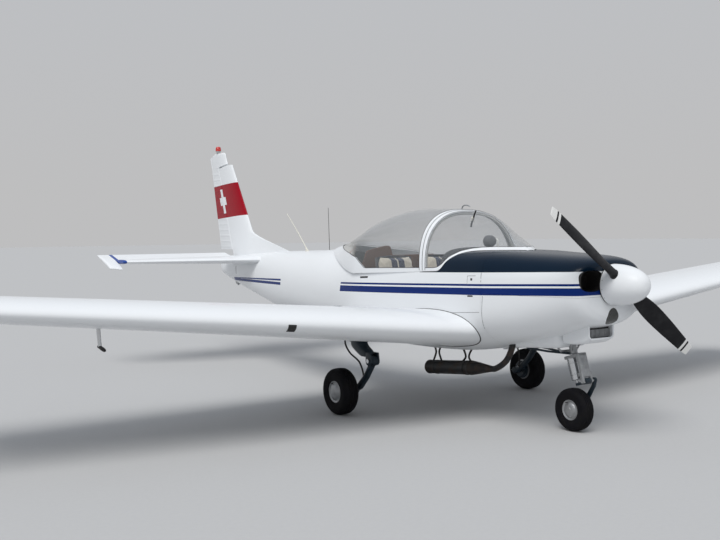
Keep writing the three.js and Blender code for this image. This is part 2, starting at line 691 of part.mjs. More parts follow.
// Propeller: spinner, hub and two blades
const spinnerProfile = (inset) => {
  const points = [];
  for (let i = 0; i <= 6; i++) {
    const turn = (i / 6) * (Math.PI / 2);
    const radius = (SPINNER.radius - inset) * Math.sin(turn) ** 0.82;
    points.push(new THREE.Vector2(radius, SPINNER.length - (SPINNER.length - inset) * Math.cos(turn)));
  }
  return points;
};
// A profile of (radius, station) points turned about the thrust line.
function turned(points, sides = 24) {
  return solid(new THREE.LatheGeometry(points, sides)).translate([0, at(0), THRUST_Z]);
}
const bladeReach = PROP_DIAMETER / 2;
// Columns: share of the radius, chord, thickness, pitch in degrees
const BLADE = [
  [0.06, 84, 78, 34],
  [0.17, 84, 66, 34],
  [0.26, 108, 46, 31],
  [0.4, 138, 28, 26],
  [0.6, 150, 19, 20],
  [0.8, 136, 13, 16],
  [0.94, 112, 9, 13.5],
  [1.0, 84, 6, 12.5],
];
function bladeBody(grow = 0) {
  const rings = BLADE.map(([share, chord, thick, pitch]) => {
    const turn = THREE.MathUtils.degToRad(pitch);
    const ring = [];
    for (let i = 0; i < 10; i++) {
      const round = (i / 10) * 2 * Math.PI;
      const along = (chord / 2 + grow) * Math.cos(round);
      const out = (thick / 2 + grow) * Math.sin(round);
      const x = along * Math.cos(turn) - out * Math.sin(turn);
      const y = along * Math.sin(turn) + out * Math.cos(turn);
      ring.push([x, PROP_STATION + y, share * bladeReach]);
    }
    return ring;
  });
  return loft(rings);
}
// Turns a blade that points up about the thrust line, on to the parked angle.
const parked = (body, extra) =>
  body.rotate([0, THREE.MathUtils.radToDeg(-PROP_ANGLE) + extra, 0]).translate([0, 0, THRUST_Z]);
const bladeA = parked(bladeBody(), 0);
const bladeB = parked(bladeBody(), 180);
const bladeHoles = join(parked(bladeBody(3), 0), parked(bladeBody(3), 180));
const backPlate = [[0, -9], [SPINNER.radius - 4.8, -9], [SPINNER.radius - 4.8, -4], [0, -4]];
const hub = join(
  bar([0, 120, THRUST_Z], [0, SPINNER.length - 4, THRUST_Z], 52, 58, 20),
  turned(backPlate.map(([radius, back]) => new THREE.Vector2(radius, SPINNER.length + back))),
).subtract(join(parked(bladeBody(GAP), 0), parked(bladeBody(GAP), 180)));
const spinnerOuter = spinnerProfile(0);
const spinnerInner = spinnerProfile(SPINNER.wall).reverse();
const spinner = turned([...spinnerOuter, ...spinnerInner, spinnerOuter[0]]).subtract(bladeHoles);
add("spinner", spinner, "whitePaint");
add("propeller_hub", hub, "silver");
add("blade_a", bladeA, "blackPaint");
add("blade_b", bladeB, "blackPaint");

// Wheels: a flat of each many-sided tyre lies on the ground
const WHEEL_SIDES = 24;
function tyreBody({ radius, width, rim }) {
  const grow = 1 / Math.cos(Math.PI / WHEEL_SIDES);
  const profile = [
    [rim, -0.36], [rim + 12, -0.44], [radius * 0.72, -0.5], [radius * 0.9, -0.44], [radius * 0.985, -0.24],
    [radius, 0],
    [radius * 0.985, 0.24], [radius * 0.9, 0.44], [radius * 0.72, 0.5], [rim + 12, 0.44], [rim, 0.36],
  ].map(([r, share]) => new THREE.Vector2(r * grow, share * width));
  profile.push(profile[0].clone());
  return latheAcross(profile);
}
// A profile of [radius, x] points turned about an axle that lies along x.
function latheAcross(profile) {
  const geometry = new THREE.LatheGeometry(profile, WHEEL_SIDES);
  geometry.rotateY(Math.PI / WHEEL_SIDES).rotateZ(-Math.PI / 2);
  return solid(geometry);
}
function rimBody({ width, rim }, bore, capOut) {
  const out = width * 0.36;
  const seatRadius = (rim - GAP) / Math.cos(Math.PI / WHEEL_SIDES);
  const profile = [
    [bore, -out - 16], [rim * 0.9, -out - 16], [seatRadius, -out - 2], [seatRadius, out], [rim * 0.86, out + 6],
    [rim * 0.6, out + capOut * 0.8], [rim * 0.25, out + capOut], [0, out + capOut], [0, out - 10], [bore, out - 10],
  ].map(([r, x]) => new THREE.Vector2(r, x));
  profile.push(profile[0].clone());
  return latheAcross(profile);
}
const AXLE_RADIUS = 19;
const seat = (body, wheel, side) => body.translate([side * wheel.x, at(wheel.station), wheel.radius]);
const outward = (body, side) => (side > 0 ? body : mirrored(body));
for (const [side, name] of [[1, "left"], [-1, "right"]]) {
  add("main_tyre_" + name, seat(tyreBody(MAIN_WHEEL), MAIN_WHEEL, side), "rubber");
  const rim = outward(rimBody(MAIN_WHEEL, AXLE_RADIUS + GAP, 22), side);
  add("main_rim_" + name, seat(rim, MAIN_WHEEL, side), "hubSilver");
}
add("nose_tyre", seat(tyreBody(NOSE_WHEEL), NOSE_WHEEL, 1), "rubber");
add("nose_rim", seat(mirrored(rimBody(NOSE_WHEEL, AXLE_RADIUS + GAP, 20)), NOSE_WHEEL, 1), "hubSilver");

// Main legs: a tapered casting under the wing with a clevis, and a trailing arm that carries the axle
const KNEE_PIN = 13;
const CHEEK = { inner: 29, outer: 45, radius: 44 };
const acrossKnee = (from, to, radius) => bar([LEG_X + from, ...KNEE], [LEG_X + to, ...KNEE], radius, radius, 16);
// Columns: station, height, half length, half width
const LEG_SECTIONS = [
  [2335, 760, 60, 45],
  [2328, 655, 60, 45],
  [2250, 608, 58, 45],
  [2160, 560, 50, 45],
  [2150, 520, 44, 45],
];
const legLoft = loft(
  LEG_SECTIONS.map(([station, z, along, across]) => {
    const ring = [];
    for (let i = 0; i < 12; i++) {
      const turn = (i / 12) * 2 * Math.PI;
      ring.push([LEG_X + across * Math.cos(turn), station + along * Math.sin(turn), z]);
    }
    return ring;
  }),
);
const cheeks = join(
  acrossKnee(CHEEK.inner, CHEEK.outer, CHEEK.radius),
  acrossKnee(-CHEEK.outer, -CHEEK.inner, CHEEK.radius),
  box([LEG_X + CHEEK.inner, KNEE[0] - 30, KNEE[1]], [LEG_X + CHEEK.outer, KNEE[0] + 42, 560]),
  box([LEG_X - CHEEK.outer, KNEE[0] - 30, KNEE[1]], [LEG_X - CHEEK.inner, KNEE[0] + 42, 560]),
);
const portLeg = join(legLoft, cheeks)
  .subtract(acrossKnee(-CHEEK.inner, CHEEK.inner, 58))
  .subtract(acrossKnee(-60, 60, KNEE_PIN + GAP))
  .subtract(wingBody.translate([0, 0, -GAP]));
const axleAt = [MAIN_WHEEL.station, MAIN_WHEEL.radius];
const axleEnd = MAIN_WHEEL.x + MAIN_WHEEL.width * 0.36 - 11;
const arm = loft(
  [[KNEE[0] + 8, KNEE[1] - 34, 25], [2228, 346, 25], [2340, 240, 30], [2446, 190, 28]].map(([station, z, half]) => [
    [LEG_X - 25, station - half * 0.8, z - half * 0.6],
    [LEG_X + 25, station - half * 0.8, z - half * 0.6],
    [LEG_X + 25, station + half * 0.8, z + half * 0.6],
    [LEG_X - 25, station + half * 0.8, z + half * 0.6],
  ]),
);
const portArm = join(
  arm,
  acrossKnee(-25, 25, 46),
  acrossKnee(-52, 52, KNEE_PIN),
  bar([LEG_X, ...axleAt], [axleEnd, ...axleAt], AXLE_RADIUS, AXLE_RADIUS, 16),
);
const hoseRoute = [
  [LEG_X - 20, 2470, 690],
  [LEG_X - 22, 2476, 600],
  [LEG_X - 30, 2420, 520],
  [LEG_X - 36, 2345, 440],
  [LEG_X - 36, 2330, 330],
  [LEG_X - 31, 2350, 252],
];
const hose = tube(hoseRoute, 6).subtract(wingBody.translate([0, 0, -GAP]));
for (const [side, turn] of SIDES) {
  add("main_leg_" + side, turn(portLeg), "legPaint");
  add("main_arm_" + side, turn(portArm), "legPaint");
  add("brake_hose_" + side, turn(hose), "rubber");
}

// Nose leg. It turns about a raked axis, and a place on it is given as x, forward of the axis and down it.
function onLeg(x, forward, down) {
  const [station, z] = STEER_TOP;
  const sin = Math.sin(STEER_RAKE);
  const cos = Math.cos(STEER_RAKE);
  return [x, station - down * sin - forward * cos, z - down * cos + forward * sin];
}
// A box in the leg's own directions, from its low corner to its high one.
function legBox([x0, f0, d0], [x1, f1, d1]) {
  const end = (down) => [onLeg(x0, f0, down), onLeg(x1, f0, down), onLeg(x1, f1, down), onLeg(x0, f1, down)];
  return loft([end(d0), end(d1)]);
}
const STEER_PIN = 15;
const SHOCK = { forward: -34, radius: 42, length: 200 };
const PLATE = { low: 52, high: 84, half: 46, length: 194 };
const PIVOT = { forward: 66, down: 226, radius: 12 };
const acrossPivot = (from, to, radius) =>
  bar(onLeg(from, PIVOT.forward, PIVOT.down), onLeg(to, PIVOT.forward, PIVOT.down), radius, radius, 14);
const noseLeg = join(
  legBox([-44, -78, 0], [44, PLATE.high, 26]),
  bar(onLeg(0, SHOCK.forward, 20), onLeg(0, SHOCK.forward, SHOCK.length), SHOCK.radius, SHOCK.radius, 20),
  legBox([-PLATE.half, PLATE.low, 0], [PLATE.half, PLATE.high, PLATE.length]),
  legBox([-18, -10, 150], [18, PLATE.low + 6, 178]),
  legBox([34, PLATE.low, 150], [PLATE.half + 8, PLATE.high, PIVOT.down + 16]),
  legBox([-PLATE.half - 8, PLATE.low, 150], [-34, PLATE.high, PIVOT.down + 16]),
)
  .subtract(bar(onLeg(0, 0, -10), onLeg(0, 0, 22 + GAP), STEER_PIN + GAP, STEER_PIN + GAP, 16))
  .subtract(acrossPivot(-80, 80, PIVOT.radius + GAP));
add("nose_leg", noseLeg, "silver");

const FORK = { inner: 74, outer: 96 };
const noseAxle = [NOSE_WHEEL.station, NOSE_WHEEL.radius];
const [, pivotStation, pivotZ] = onLeg(0, PIVOT.forward, PIVOT.down);
const forkArm = slab(
  [
    [pivotStation - 26, pivotZ + 6],
    [pivotStation + 4, pivotZ + 24],
    [pivotStation + 40, pivotZ - 40],
    [noseAxle[0] + 34, noseAxle[1] + 22],
    [noseAxle[0] + 34, noseAxle[1] - 24],
    [noseAxle[0] - 20, noseAxle[1] - 34],
    [noseAxle[0] - 44, noseAxle[1] + 8],
    [pivotStation - 18, pivotZ - 60],
  ],
  FORK.inner,
  FORK.outer,
);
const noseFork = join(
  forkArm,
  acrossPivot(-PLATE.half - 14, FORK.inner + 2, PIVOT.radius),
  acrossPivot(-33, 33, 24),
  legBox([-14, SHOCK.forward - 14, PIVOT.down - 4], [14, PIVOT.forward, PIVOT.down + 18]),
  bar(onLeg(0, SHOCK.forward, SHOCK.length + GAP), onLeg(0, SHOCK.forward, PIVOT.down + 4), 13, 13, 12),
  bar([FORK.outer + 16, ...noseAxle], [-NOSE_WHEEL.width * 0.36 + 11, ...noseAxle], AXLE_RADIUS, AXLE_RADIUS, 16),
);
add("nose_fork", noseFork, "silver");

// Air scoop and the fairing behind it, under the cowling
// Columns: station, top, bottom, half width
const SCOOP = [
  [436, 880, 757, 141],
  [500, 870, 724, 147],
  [640, 830, 708, 150],
  [700, 800, 712, 143],
  [718, 790, 724, 132],
];
const SCOOP_INSIDE = [
  [420, 900, 766, 132],
  [500, 880, 734, 138],
  [640, 850, 718, 140],
];
const FAIRING = [
  [718.3, 800, 706, 150],
  [742, 790, 676, 182],
  [800, 780, 663, 196],
  [1000, 740, 650, 200],
  [1200, 700, 632, 192],
  [1420, 640, 600, 150],
];
const troughRing = ([station, top, bottom, half]) => {
  const corner = Math.min(34, (top - bottom) / 2);
  return [
    [-half, station, top],
    [-half, station, bottom + corner],
    [-half + corner * 0.3, station, bottom + corner * 0.3],
    [-half + corner, station, bottom],
    [half - corner, station, bottom],
    [half - corner * 0.3, station, bottom + corner * 0.3],
    [half, station, bottom + corner],
    [half, station, top],
  ];
};
const scoop = loft(SCOOP.map(troughRing)).subtract(loft(SCOOP_INSIDE.map(troughRing))).subtract(hullGrown);
add("air_scoop", scoop, "whitePaint");
const fairing = loft(FAIRING.map(troughRing)).subtract(hullGrown);
add("cowl_outlet_fairing", fairing, "whitePaint");

const mount = join(
  bar(onLeg(0, 0, -5.5), onLeg(0, 0, -110), 40, 44, 16),
  bar(onLeg(0, 0, -8), onLeg(0, 0, 22), STEER_PIN, STEER_PIN, 16),
  bar([-60, 800, 632], [-110, 860, 720], 12, 12, 10),
  bar([60, 800, 632], [110, 860, 720], 12, 12, 10),
  bar([-62, 800, 632], [62, 800, 632], 12, 12, 10),
  box([-14, 722, 622], [14, 806, 644]),
)
  .subtract(loft(FAIRING.map(troughRing)).translate([0, 0, -GAP]))
  .subtract(loft(SCOOP.map(troughRing)).translate([0, 0, -GAP]));
add("nose_gear_mount", mount, "silver");

// Exhaust: down pipe, muffler and its hangers
const { x: pipeX, front, shoulder, rear } = MUFFLER;
const hanger = (station) => {
  const low = shoulder[1] + ((station - shoulder[0]) / (rear[0] - shoulder[0])) * (rear[1] - shoulder[1]) + 50;
  const leg = (from, to) => bar([pipeX, station + from, low], [pipeX, station + to, 575], 7, 7, 6);
  return join(leg(-30, 26), leg(30, -26));
};
const exhaust = join(
  bar([pipeX, ...shoulder], [pipeX, ...rear], MUFFLER.radius, MUFFLER.radius, 16),
  bar([pipeX, ...front], [pipeX, ...shoulder], 27, MUFFLER.radius, 16),
  tube([[pipeX, 1500, 426], [pipeX, 1420, 436], [pipeX, 1300, 505], [pipeX, 1238, 585], [pipeX, 1200, 720]], 26, 8, 8),
  bar([pipeX, ...rear], [pipeX, rear[0] + 60, rear[1] - 22], 24, 24, 12),
  hanger(1840),
  hanger(2265),
)
  .subtract(hullGrown)
  .subtract(loft(FAIRING.map(([station, top, low, half]) => troughRing([station, top, low - GAP, half + GAP]))));
add("exhaust_muffler", exhaust, "soot");

// Cabin: floor, panel with its coaming, seats, rear panel and sticks
const FLOOR_TOP = 664;
add("cabin_floor", cabinInside.intersect(box([-700, FIREWALL + 8, FLOOR_TOP - 16], [700, 3150, FLOOR_TOP])), "cabinGrey");

const PANEL = { station: 1745, thick: 22, low: 960, sill: 1250 };
// Columns: station, top, half width
const COAMING = [
  [1300, 1412, 490],
  [1500, 1410, 480],
  [PANEL.station - GAP, 1404, 492],
];
const coamingRing = ([station, top, half], inset, floor) => {
  const ring = [];
  for (let i = 0; i <= 14; i++) {
    const turn = (i / 14) * Math.PI;
    const x = Math.sign(Math.cos(turn)) * Math.abs(Math.cos(turn)) ** 0.42 * (half - inset);
    ring.push([x, station, 1200 + Math.abs(Math.sin(turn)) ** 0.42 * (top - 1200 - inset)]);
  }
  ring.push([-half + inset, station, floor], [half - inset, station, floor]);
  return ring;
};
const [coamingFront, coamingMiddle, coamingRear] = COAMING;
const coaming = loft(COAMING.map((section) => coamingRing(section, 0, 1180))).subtract(
  loft([[1290, ...coamingFront.slice(1)], coamingMiddle, [1760, ...coamingRear.slice(1)]].map((section) =>
    coamingRing(section, 10, 1100))),
);
add("coaming", coaming, "cabinGrey");
const panelRing = (station) => coamingRing([station, coamingRear[1], coamingRear[2]], 0, 1190);
const panel = join(
  cabinInside.intersect(
    box([-700, PANEL.station, PANEL.low], [700, PANEL.station + PANEL.thick, PANEL.sill]),
  ),
  loft([panelRing(PANEL.station), panelRing(PANEL.station + PANEL.thick)]),
);
add("instrument_panel", panel, "cabinGrey");

const SEAT = { x: 270, half: 222 };
const seatOutline = [
  [2200, FLOOR_TOP + GAP], [2210, 800], [2170, 850], [2180, 905], [2260, 925], [2600, 885], [2640, 930],
  [2740, 1370], [2790, 1382], [2825, 1362], [2730, 880], [2690, 800], [2640, FLOOR_TOP + GAP],
];
const REAR_PANEL = [
  [2950, FLOOR_TOP + GAP], [2972, FLOOR_TOP + GAP], [3090, 1190], [3040, 1385], [3018, 1380], [3066, 1190],
];
const seatRoom = join(cabinInside, box([-520, 2000, 1150], [520, 3000, 1500]));
for (const [side, x] of [["left", SEAT.x], ["right", -SEAT.x]]) {
  add("seat_" + side, slab(seatOutline, x - SEAT.half, x + SEAT.half).intersect(seatRoom), "seatCloth");
}
add("rear_panel", slab(REAR_PANEL, -420, 420), "brownTrim");

const stick = (x) => join(
  bar([x, 2105, FLOOR_TOP + 16], [x, 2090, 960], 11, 11, 10),
  bar([x, 2090, 950], [x, 2080, 1065], 20, 17, 10),
);
const sticks = join(
  bar([-320, 2105, FLOOR_TOP + 15.5], [320, 2105, FLOOR_TOP + 15.5], 15, 15, 12),
  stick(SEAT.x),
  stick(-SEAT.x),
);
add("control_sticks", sticks, "blackPaint");

// Aerial, pitot tube and tail tie-down
add("whip_aerial", join(
  bar([0, 4870, 1380], [0, 4876, 1412], 20, 12, 12),
  bar([0, 4874, 1405], [0, 5350, 1848], 5, 2.5, 8),
).subtract(hullGrown), "whitePaint");
const pitot = join(
  bar([-3400, 2030, 1000], [-3400, 2020, 790], 11, 9, 10),
  bar([-3400, 2034, 786], [-3400, 1880, 790], 9, 7, 10),
).subtract(mirrored(wingBody).translate([0, 0, -GAP]));
add("pitot_tube", pitot, "silver");
const tailPad = box([-26, 6640, 930], [26, 6740, 1000]).subtract(hullGrown);
add("tail_tie_down", tailPad, "steel");

export default plane;
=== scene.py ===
import math

import bmesh
import bpy
import numpy as np
from mathutils import Matrix, Vector


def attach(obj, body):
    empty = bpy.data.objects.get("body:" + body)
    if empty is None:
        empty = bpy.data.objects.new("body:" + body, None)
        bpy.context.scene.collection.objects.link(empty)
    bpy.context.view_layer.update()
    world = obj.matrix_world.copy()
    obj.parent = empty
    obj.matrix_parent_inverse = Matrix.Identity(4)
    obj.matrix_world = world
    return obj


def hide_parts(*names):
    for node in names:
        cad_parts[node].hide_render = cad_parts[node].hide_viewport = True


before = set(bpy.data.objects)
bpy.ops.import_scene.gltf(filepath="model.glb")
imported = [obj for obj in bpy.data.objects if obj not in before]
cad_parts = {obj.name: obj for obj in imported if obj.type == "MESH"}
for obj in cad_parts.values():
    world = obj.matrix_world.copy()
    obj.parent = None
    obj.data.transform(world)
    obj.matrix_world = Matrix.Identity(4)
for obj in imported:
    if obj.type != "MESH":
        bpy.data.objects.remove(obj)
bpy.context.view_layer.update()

# Camera. It stands ahead of the aircraft and to its right, at about a tall man's eye height.
# Its place, turn and focal length come from the aircraft's known sizes.
camera_place = Vector((-5.497, -8.221, 1.583))
camera_yaw, camera_pitch, camera_roll = 0.588, -0.038, -0.011
lens, sensor_width = 46.47, 36.0

ahead = Vector((
    math.sin(camera_yaw) * math.cos(camera_pitch),
    math.cos(camera_yaw) * math.cos(camera_pitch),
    math.sin(camera_pitch),
))
level_right = Vector((math.cos(camera_yaw), -math.sin(camera_yaw), 0.0))
level_up = level_right.cross(ahead)
camera_right = math.cos(camera_roll) * level_right + math.sin(camera_roll) * level_up
camera_up = -math.sin(camera_roll) * level_right + math.cos(camera_roll) * level_up
camera_data = bpy.data.cameras.new("photo_camera")
camera_data.sensor_width = sensor_width
camera_data.lens = lens
camera_data.clip_end = 500
camera = bpy.data.objects.new("photo_camera", camera_data)
bpy.context.scene.collection.objects.link(camera)
camera_turn = Matrix((camera_right, camera_up, -ahead)).transposed().to_4x4()
camera.matrix_world = Matrix.Translation(camera_place) @ camera_turn
bpy.context.scene.camera = camera

# Studio: a plain pale floor that runs into a pale background, lit by a soft sky and one wide veiled sun.
# The background's brightness low down equals the lit floor's, so no horizon shows.
def feed(tree, socket, value):
    if isinstance(value, bpy.types.NodeSocket):
        tree.links.new(value, socket)
    else:
        socket.default_value = value


def node(tree, kind, fed=None, **settings):
    made = tree.nodes.new("ShaderNode" + kind)
    for key, value in settings.items():
        setattr(made, key, value)
    for key, value in (fed or {}).items():
        feed(tree, made.inputs[key], value)
    return made


def calc(tree, operation, *values):
    made = node(tree, "Math", operation=operation)
    for socket, value in zip(made.inputs, values):
        feed(tree, socket, value)
    return made.outputs[0]


def times(tree, first, second):
    return calc(tree, "MULTIPLY", first, second)


def axes_of(tree, vector):
    return node(tree, "SeparateXYZ", {0: vector}).outputs


def blended(tree, share, first, second):
    made = node(tree, "Mix", data_type="RGBA")
    feed(tree, made.inputs["Factor"], share)
    feed(tree, made.inputs[6], first)
    feed(tree, made.inputs[7], second)
    return made.outputs[2]


def ramp(tree, value, low, high, low_out=0.0, high_out=1.0):
    made = node(tree, "MapRange", {"Value": value, "From Min": low, "From Max": high,
                                   "To Min": low_out, "To Max": high_out})
    return made.outputs[0]


def noise(tree, place, scale, detail=3.0, roughness=0.5):
    made = node(tree, "TexNoise", {"Vector": place, "Scale": scale, "Detail": detail, "Roughness": roughness})
    return made.outputs["Fac"]


def object_place(tree):
    return node(tree, "TexCoord").outputs["Object"]


def shader_for(name, colour, roughness, metallic=0.0, **sockets):
    material = bpy.data.materials.new(name)
    material.use_nodes = True
    tree = material.node_tree
    tree.nodes.clear()
    shader = node(tree, "BsdfPrincipled",
                  {"Base Color": (*colour, 1), "Roughness": roughness, "Metallic": metallic})
    for key, value in sockets.items():
        shader.inputs[key.replace("_", " ")].default_value = value
    output = node(tree, "OutputMaterial")
    tree.links.new(shader.outputs[0], output.inputs[0])
    return material, tree, shader


def bump(tree, shader, height, depth, strength=1.0):
    made = node(tree, "Bump", {"Height": height, "Distance": depth, "Strength": strength})
    tree.links.new(made.outputs[0], shader.inputs["Normal"])


def new_piece(name, points, faces):
    mesh = bpy.data.meshes.new(name)
    mesh.from_pydata([tuple(p) for p in points], [], faces)
    piece = bpy.data.objects.new(name, mesh)
    bpy.context.scene.collection.objects.link(piece)
    return piece


floor_half = 160
floor = new_piece("studio_floor", [
    (-floor_half, -floor_half, 0), (floor_half, -floor_half, 0),
    (floor_half, floor_half, 0), (-floor_half, floor_half, 0),
], [(0, 1, 2, 3)])
floor_paint, tree, shader = shader_for("pale_floor", (0.50, 0.50, 0.50), 1.0, Specular_IOR_Level=0.0)
floor_grain = noise(tree, object_place(tree), 30, 4)
tree.links.new(blended(tree, floor_grain, (0.49, 0.49, 0.49, 1), (0.52, 0.52, 0.52, 1)),
               shader.inputs["Base Color"])
floor.data.materials.append(floor_paint)

world = bpy.data.worlds.new("soft_sky")
world.use_nodes = True
bpy.context.scene.world = world
tree = world.node_tree
sky = tree.nodes["Background"]
up = axes_of(tree, node(tree, "TexCoord").outputs["Generated"])["Z"]
sky_share = ramp(tree, up, 0.05, 0.8)
tree.links.new(blended(tree, sky_share, (0.515, 0.515, 0.52, 1), (0.50, 0.54, 0.60, 1)), sky.inputs["Color"])
sky.inputs["Strength"].default_value = 1.0
sun = bpy.data.lights.new("veiled_sun", "SUN")
sun.energy, sun.angle, sun.color = 2.0, math.radians(36), (1.0, 0.985, 0.96)
sun_lamp = bpy.data.objects.new("veiled_sun", sun)
sun_lamp.rotation_euler = Vector((0.42, 0.36, -0.83)).to_track_quat("-Z", "Y").to_euler()
bpy.context.scene.collection.objects.link(sun_lamp)
bpy.context.scene.view_settings.view_transform = "Standard"

# Fuselage shell and tail cone: one moulded glass-fibre tube with a wall of 14 mm, painted white.
# The cabin opening is cut out of it along the sill, and the deck and side stripes are dark blue paint.
length = 7500
hull_wall = 14
firewall_station = 1196
hull_table = [  # station, top, height of the greatest width, bottom, half width, roundness above, below
    (318, 1350, 1150, 945, 290, 2.6, 2.3), (335, 1368, 1150, 905, 345, 2.8, 2.4),
    (380, 1386, 1145, 872, 380, 3.0, 2.5), (470, 1401, 1140, 846, 404, 3.2, 2.6),
    (650, 1413, 1120, 785, 443, 3.5, 2.7), (900, 1424, 1080, 716, 500, 4.0, 2.8),
    (1196, 1436, 1040, 655, 555, 4.8, 2.9), (1500, 1441, 1010, 592, 562, 5.4, 3.1),
    (1800, 1442, 980, 555, 564, 5.3, 3.2), (2400, 1442, 960, 535, 564, 4.0, 3.2),
    (3000, 1441, 950, 545, 545, 3.0, 3.0), (3400, 1440, 950, 562, 505, 2.3, 2.8),
    (3700, 1437, 955, 583, 470, 2.1, 2.6), (4100, 1430, 965, 612, 425, 2.1, 2.5),
    (4600, 1404, 985, 648, 365, 2.1, 2.4), (5294, 1391, 1010, 703, 275, 2.1, 2.3),
    (5807, 1374, 1045, 798, 205, 2.1, 2.2), (6241, 1360, 1085, 880, 145, 2.1, 2.2),
    (6600, 1344, 1125, 955, 97, 2.1, 2.2), (6771, 1334, 1145, 994, 76, 2.1, 2.2),
    (7120, 1290, 1190, 1092, 40, 2.1, 2.2), (7160, 1250, 1190, 1130, 22, 2.1, 2.2),
]
sill_table = [  # station, height of the cabin opening's edge
    (1100, 1434), (1200, 1436), (1240, 1437), (1290, 1438), (1360, 1438.5), (1440, 1437.5), (1500, 1434),
    (1545, 1424), (1590, 1404), (1660, 1346), (1705, 1292), (1750, 1266), (1800, 1261), (2038, 1251),
    (3050, 1209), (3130, 1209), (3240, 1224), (3405, 1252), (3665, 1317), (3889, 1380), (4030, 1411),
    (4110, 1434), (4200, 1500),
]
# station, half width under the windscreen
deck_opening = [(1236, 24), (1290, 112), (1360, 190), (1440, 285), (1500, 350)]


def table_row(table, station):
    last = len(table) - 1
    i = min(max(int(np.searchsorted([entry[0] for entry in table], station, side="right")) - 1, 0), last - 1)
    near, far = np.array(table[i], float), np.array(table[i + 1], float)
    span = far[0] - near[0]
    t = (station - near[0]) / span

    def slope(k):
        a, b = np.array(table[max(k - 1, 0)], float), np.array(table[min(k + 1, last)], float)
        return (b - a) / (b[0] - a[0]) * span

    start, end = slope(i), slope(i + 1)
    square, cube = 3 * far - 3 * near - 2 * start - end, 2 * near - 2 * far + start + end
    return near + start * t + square * t**2 + cube * t**3


def placed(points):
    points = np.asarray(points, float)
    return np.stack([points[..., 0], points[..., 1] - length / 2, points[..., 2]], -1) / 1000


def oval(angles, half, height_up, height_down, power_up, power_down):
    across, up = np.cos(angles), np.sin(angles)
    power = np.where(up >= 0, power_up, power_down)
    reach = (np.abs(across) ** power + np.abs(up) ** power) ** (-1 / power)
    return across * reach * half, up * reach * np.where(up >= 0, height_up, height_down)


def hull_ring(station, angles, inset=0.0):
    _, top, wide, low, half, above, below = table_row(hull_table, station)
    x, z = oval(angles, half - inset, top - wide - inset, wide - low - inset, above, below)
    return np.stack([x, np.full_like(x, station), wide + z], -1)


def hull_angle(station, z):
    _, top, wide, low, _, above, below = table_row(hull_table, station)
    height, power = (top - wide, above) if z >= wide else (wide - low, below)
    share = min(max((z - wide) / height, -1.0), 1.0)
    return math.atan2(share, (1 - abs(share) ** power) ** (1 / power))


def hull_side(station, z):
    _, top, wide, low, half, above, below = table_row(hull_table, station)
    height, power = (top - wide, above) if z >= wide else (wide - low, below)
    return half * max(1 - min(abs(z - wide) / height, 1.0) ** power, 0.0) ** (1 / power)


def grid_piece(name, rows, wrap=False, cap_first=False, cap_last=False, merge=2e-5):
    rows = np.asarray(rows, float)
    count, width = rows.shape[0], rows.shape[1]
    faces = []
    for r in range(count - 1):
        for c in range(width if wrap else width - 1):
            a, b = r * width + c, r * width + (c + 1) % width
            faces.append((a, b, b + width, a + width))
    if cap_first:
        faces.append(tuple(reversed(range(width))))
    if cap_last:
        faces.append(tuple(range((count - 1) * width, count * width)))
    piece = new_piece(name, placed(rows.reshape(-1, 3)), faces)
    tidy_mesh(piece, merge)
    return piece


def tidy_mesh(piece, merge=2e-5):
    work = bmesh.new()
    work.from_mesh(piece.data)
    bmesh.ops.remove_doubles(work, verts=work.verts, dist=merge)
    bmesh.ops.dissolve_degenerate(work, edges=work.edges, dist=1e-6)
    bmesh.ops.recalc_face_normals(work, faces=work.faces)
    work.to_mesh(piece.data)
    work.free()


def modify(piece, kind, **settings):
    made = piece.modifiers.new(kind.lower(), kind)
    for key, value in settings.items():
        setattr(made, key, value)
    return made


def baked(piece):
    seen = piece.evaluated_get(bpy.context.evaluated_depsgraph_get())
    mesh = bpy.data.meshes.new_from_object(seen)
    piece.modifiers.clear()
    piece.data = mesh
    return piece


def walled(piece, thick, outward=-1.0):
    modify(piece, "SOLIDIFY", thickness=thick / 1000, offset=outward, use_even_offset=True)
    return baked(piece)


def cut(piece, *cutters, operation="DIFFERENCE"):
    for cutter in cutters:
        modify(piece, "BOOLEAN", object=cutter, operation=operation, solver="EXACT")
    baked(piece)
    for cutter in cutters:
        bpy.data.objects.remove(cutter)
    return piece


def smooth(piece, angle=35):
    piece.data.shade_smooth()
    piece.data.set_sharp_from_angle(angle=math.radians(angle))
    return piece


def fitted(piece, material, body="airframe", stands_for=(), angle=35):
    smooth(piece, angle)
    piece.data.materials.clear()
    piece.data.materials.append(material)
    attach(piece, body)
    if stands_for:
        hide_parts(*stands_for)
    return piece


def dressed(material, *nodes):
    for name in nodes:
        skin = bpy.data.objects[name]
        skin.data.materials.clear()
        skin.data.materials.append(material)


def paint(name, colour, roughness=0.24, dust=(0.30, 0.27, 0.22)):
    material, tree, shader = shader_for(name, colour, roughness, Coat_Weight=0.03, Coat_Roughness=0.08,
                                        Specular_IOR_Level=0.14)
    place = object_place(tree)
    height = axes_of(tree, place)["Z"]
    cloud = noise(tree, place, 1.7, 5, 0.62)
    speck = noise(tree, place, 55, 3, 0.6)
    low = ramp(tree, height, 1.0, 0.4, 0.0, 0.09)
    grime = times(tree, ramp(tree, cloud, 0.4, 0.85), calc(tree, "ADD", low, 0.015))
    specks = times(tree, ramp(tree, speck, 0.64, 0.74), calc(tree, "ADD", low, 0.01))
    total = calc(tree, "MAXIMUM", grime, specks)
    feed(tree, shader.inputs["Roughness"], ramp(tree, cloud, 0.2, 0.8, roughness - 0.02, roughness + 0.04))
    bump(tree, shader, noise(tree, place, 90, 2), 0.0001, 0.12)
    return material, tree, shader, total, dust


def finish_paint(tree, shader, colour, total, dust):
    feed(tree, shader.inputs["Base Color"], blended(tree, total, colour, (*dust, 1)))


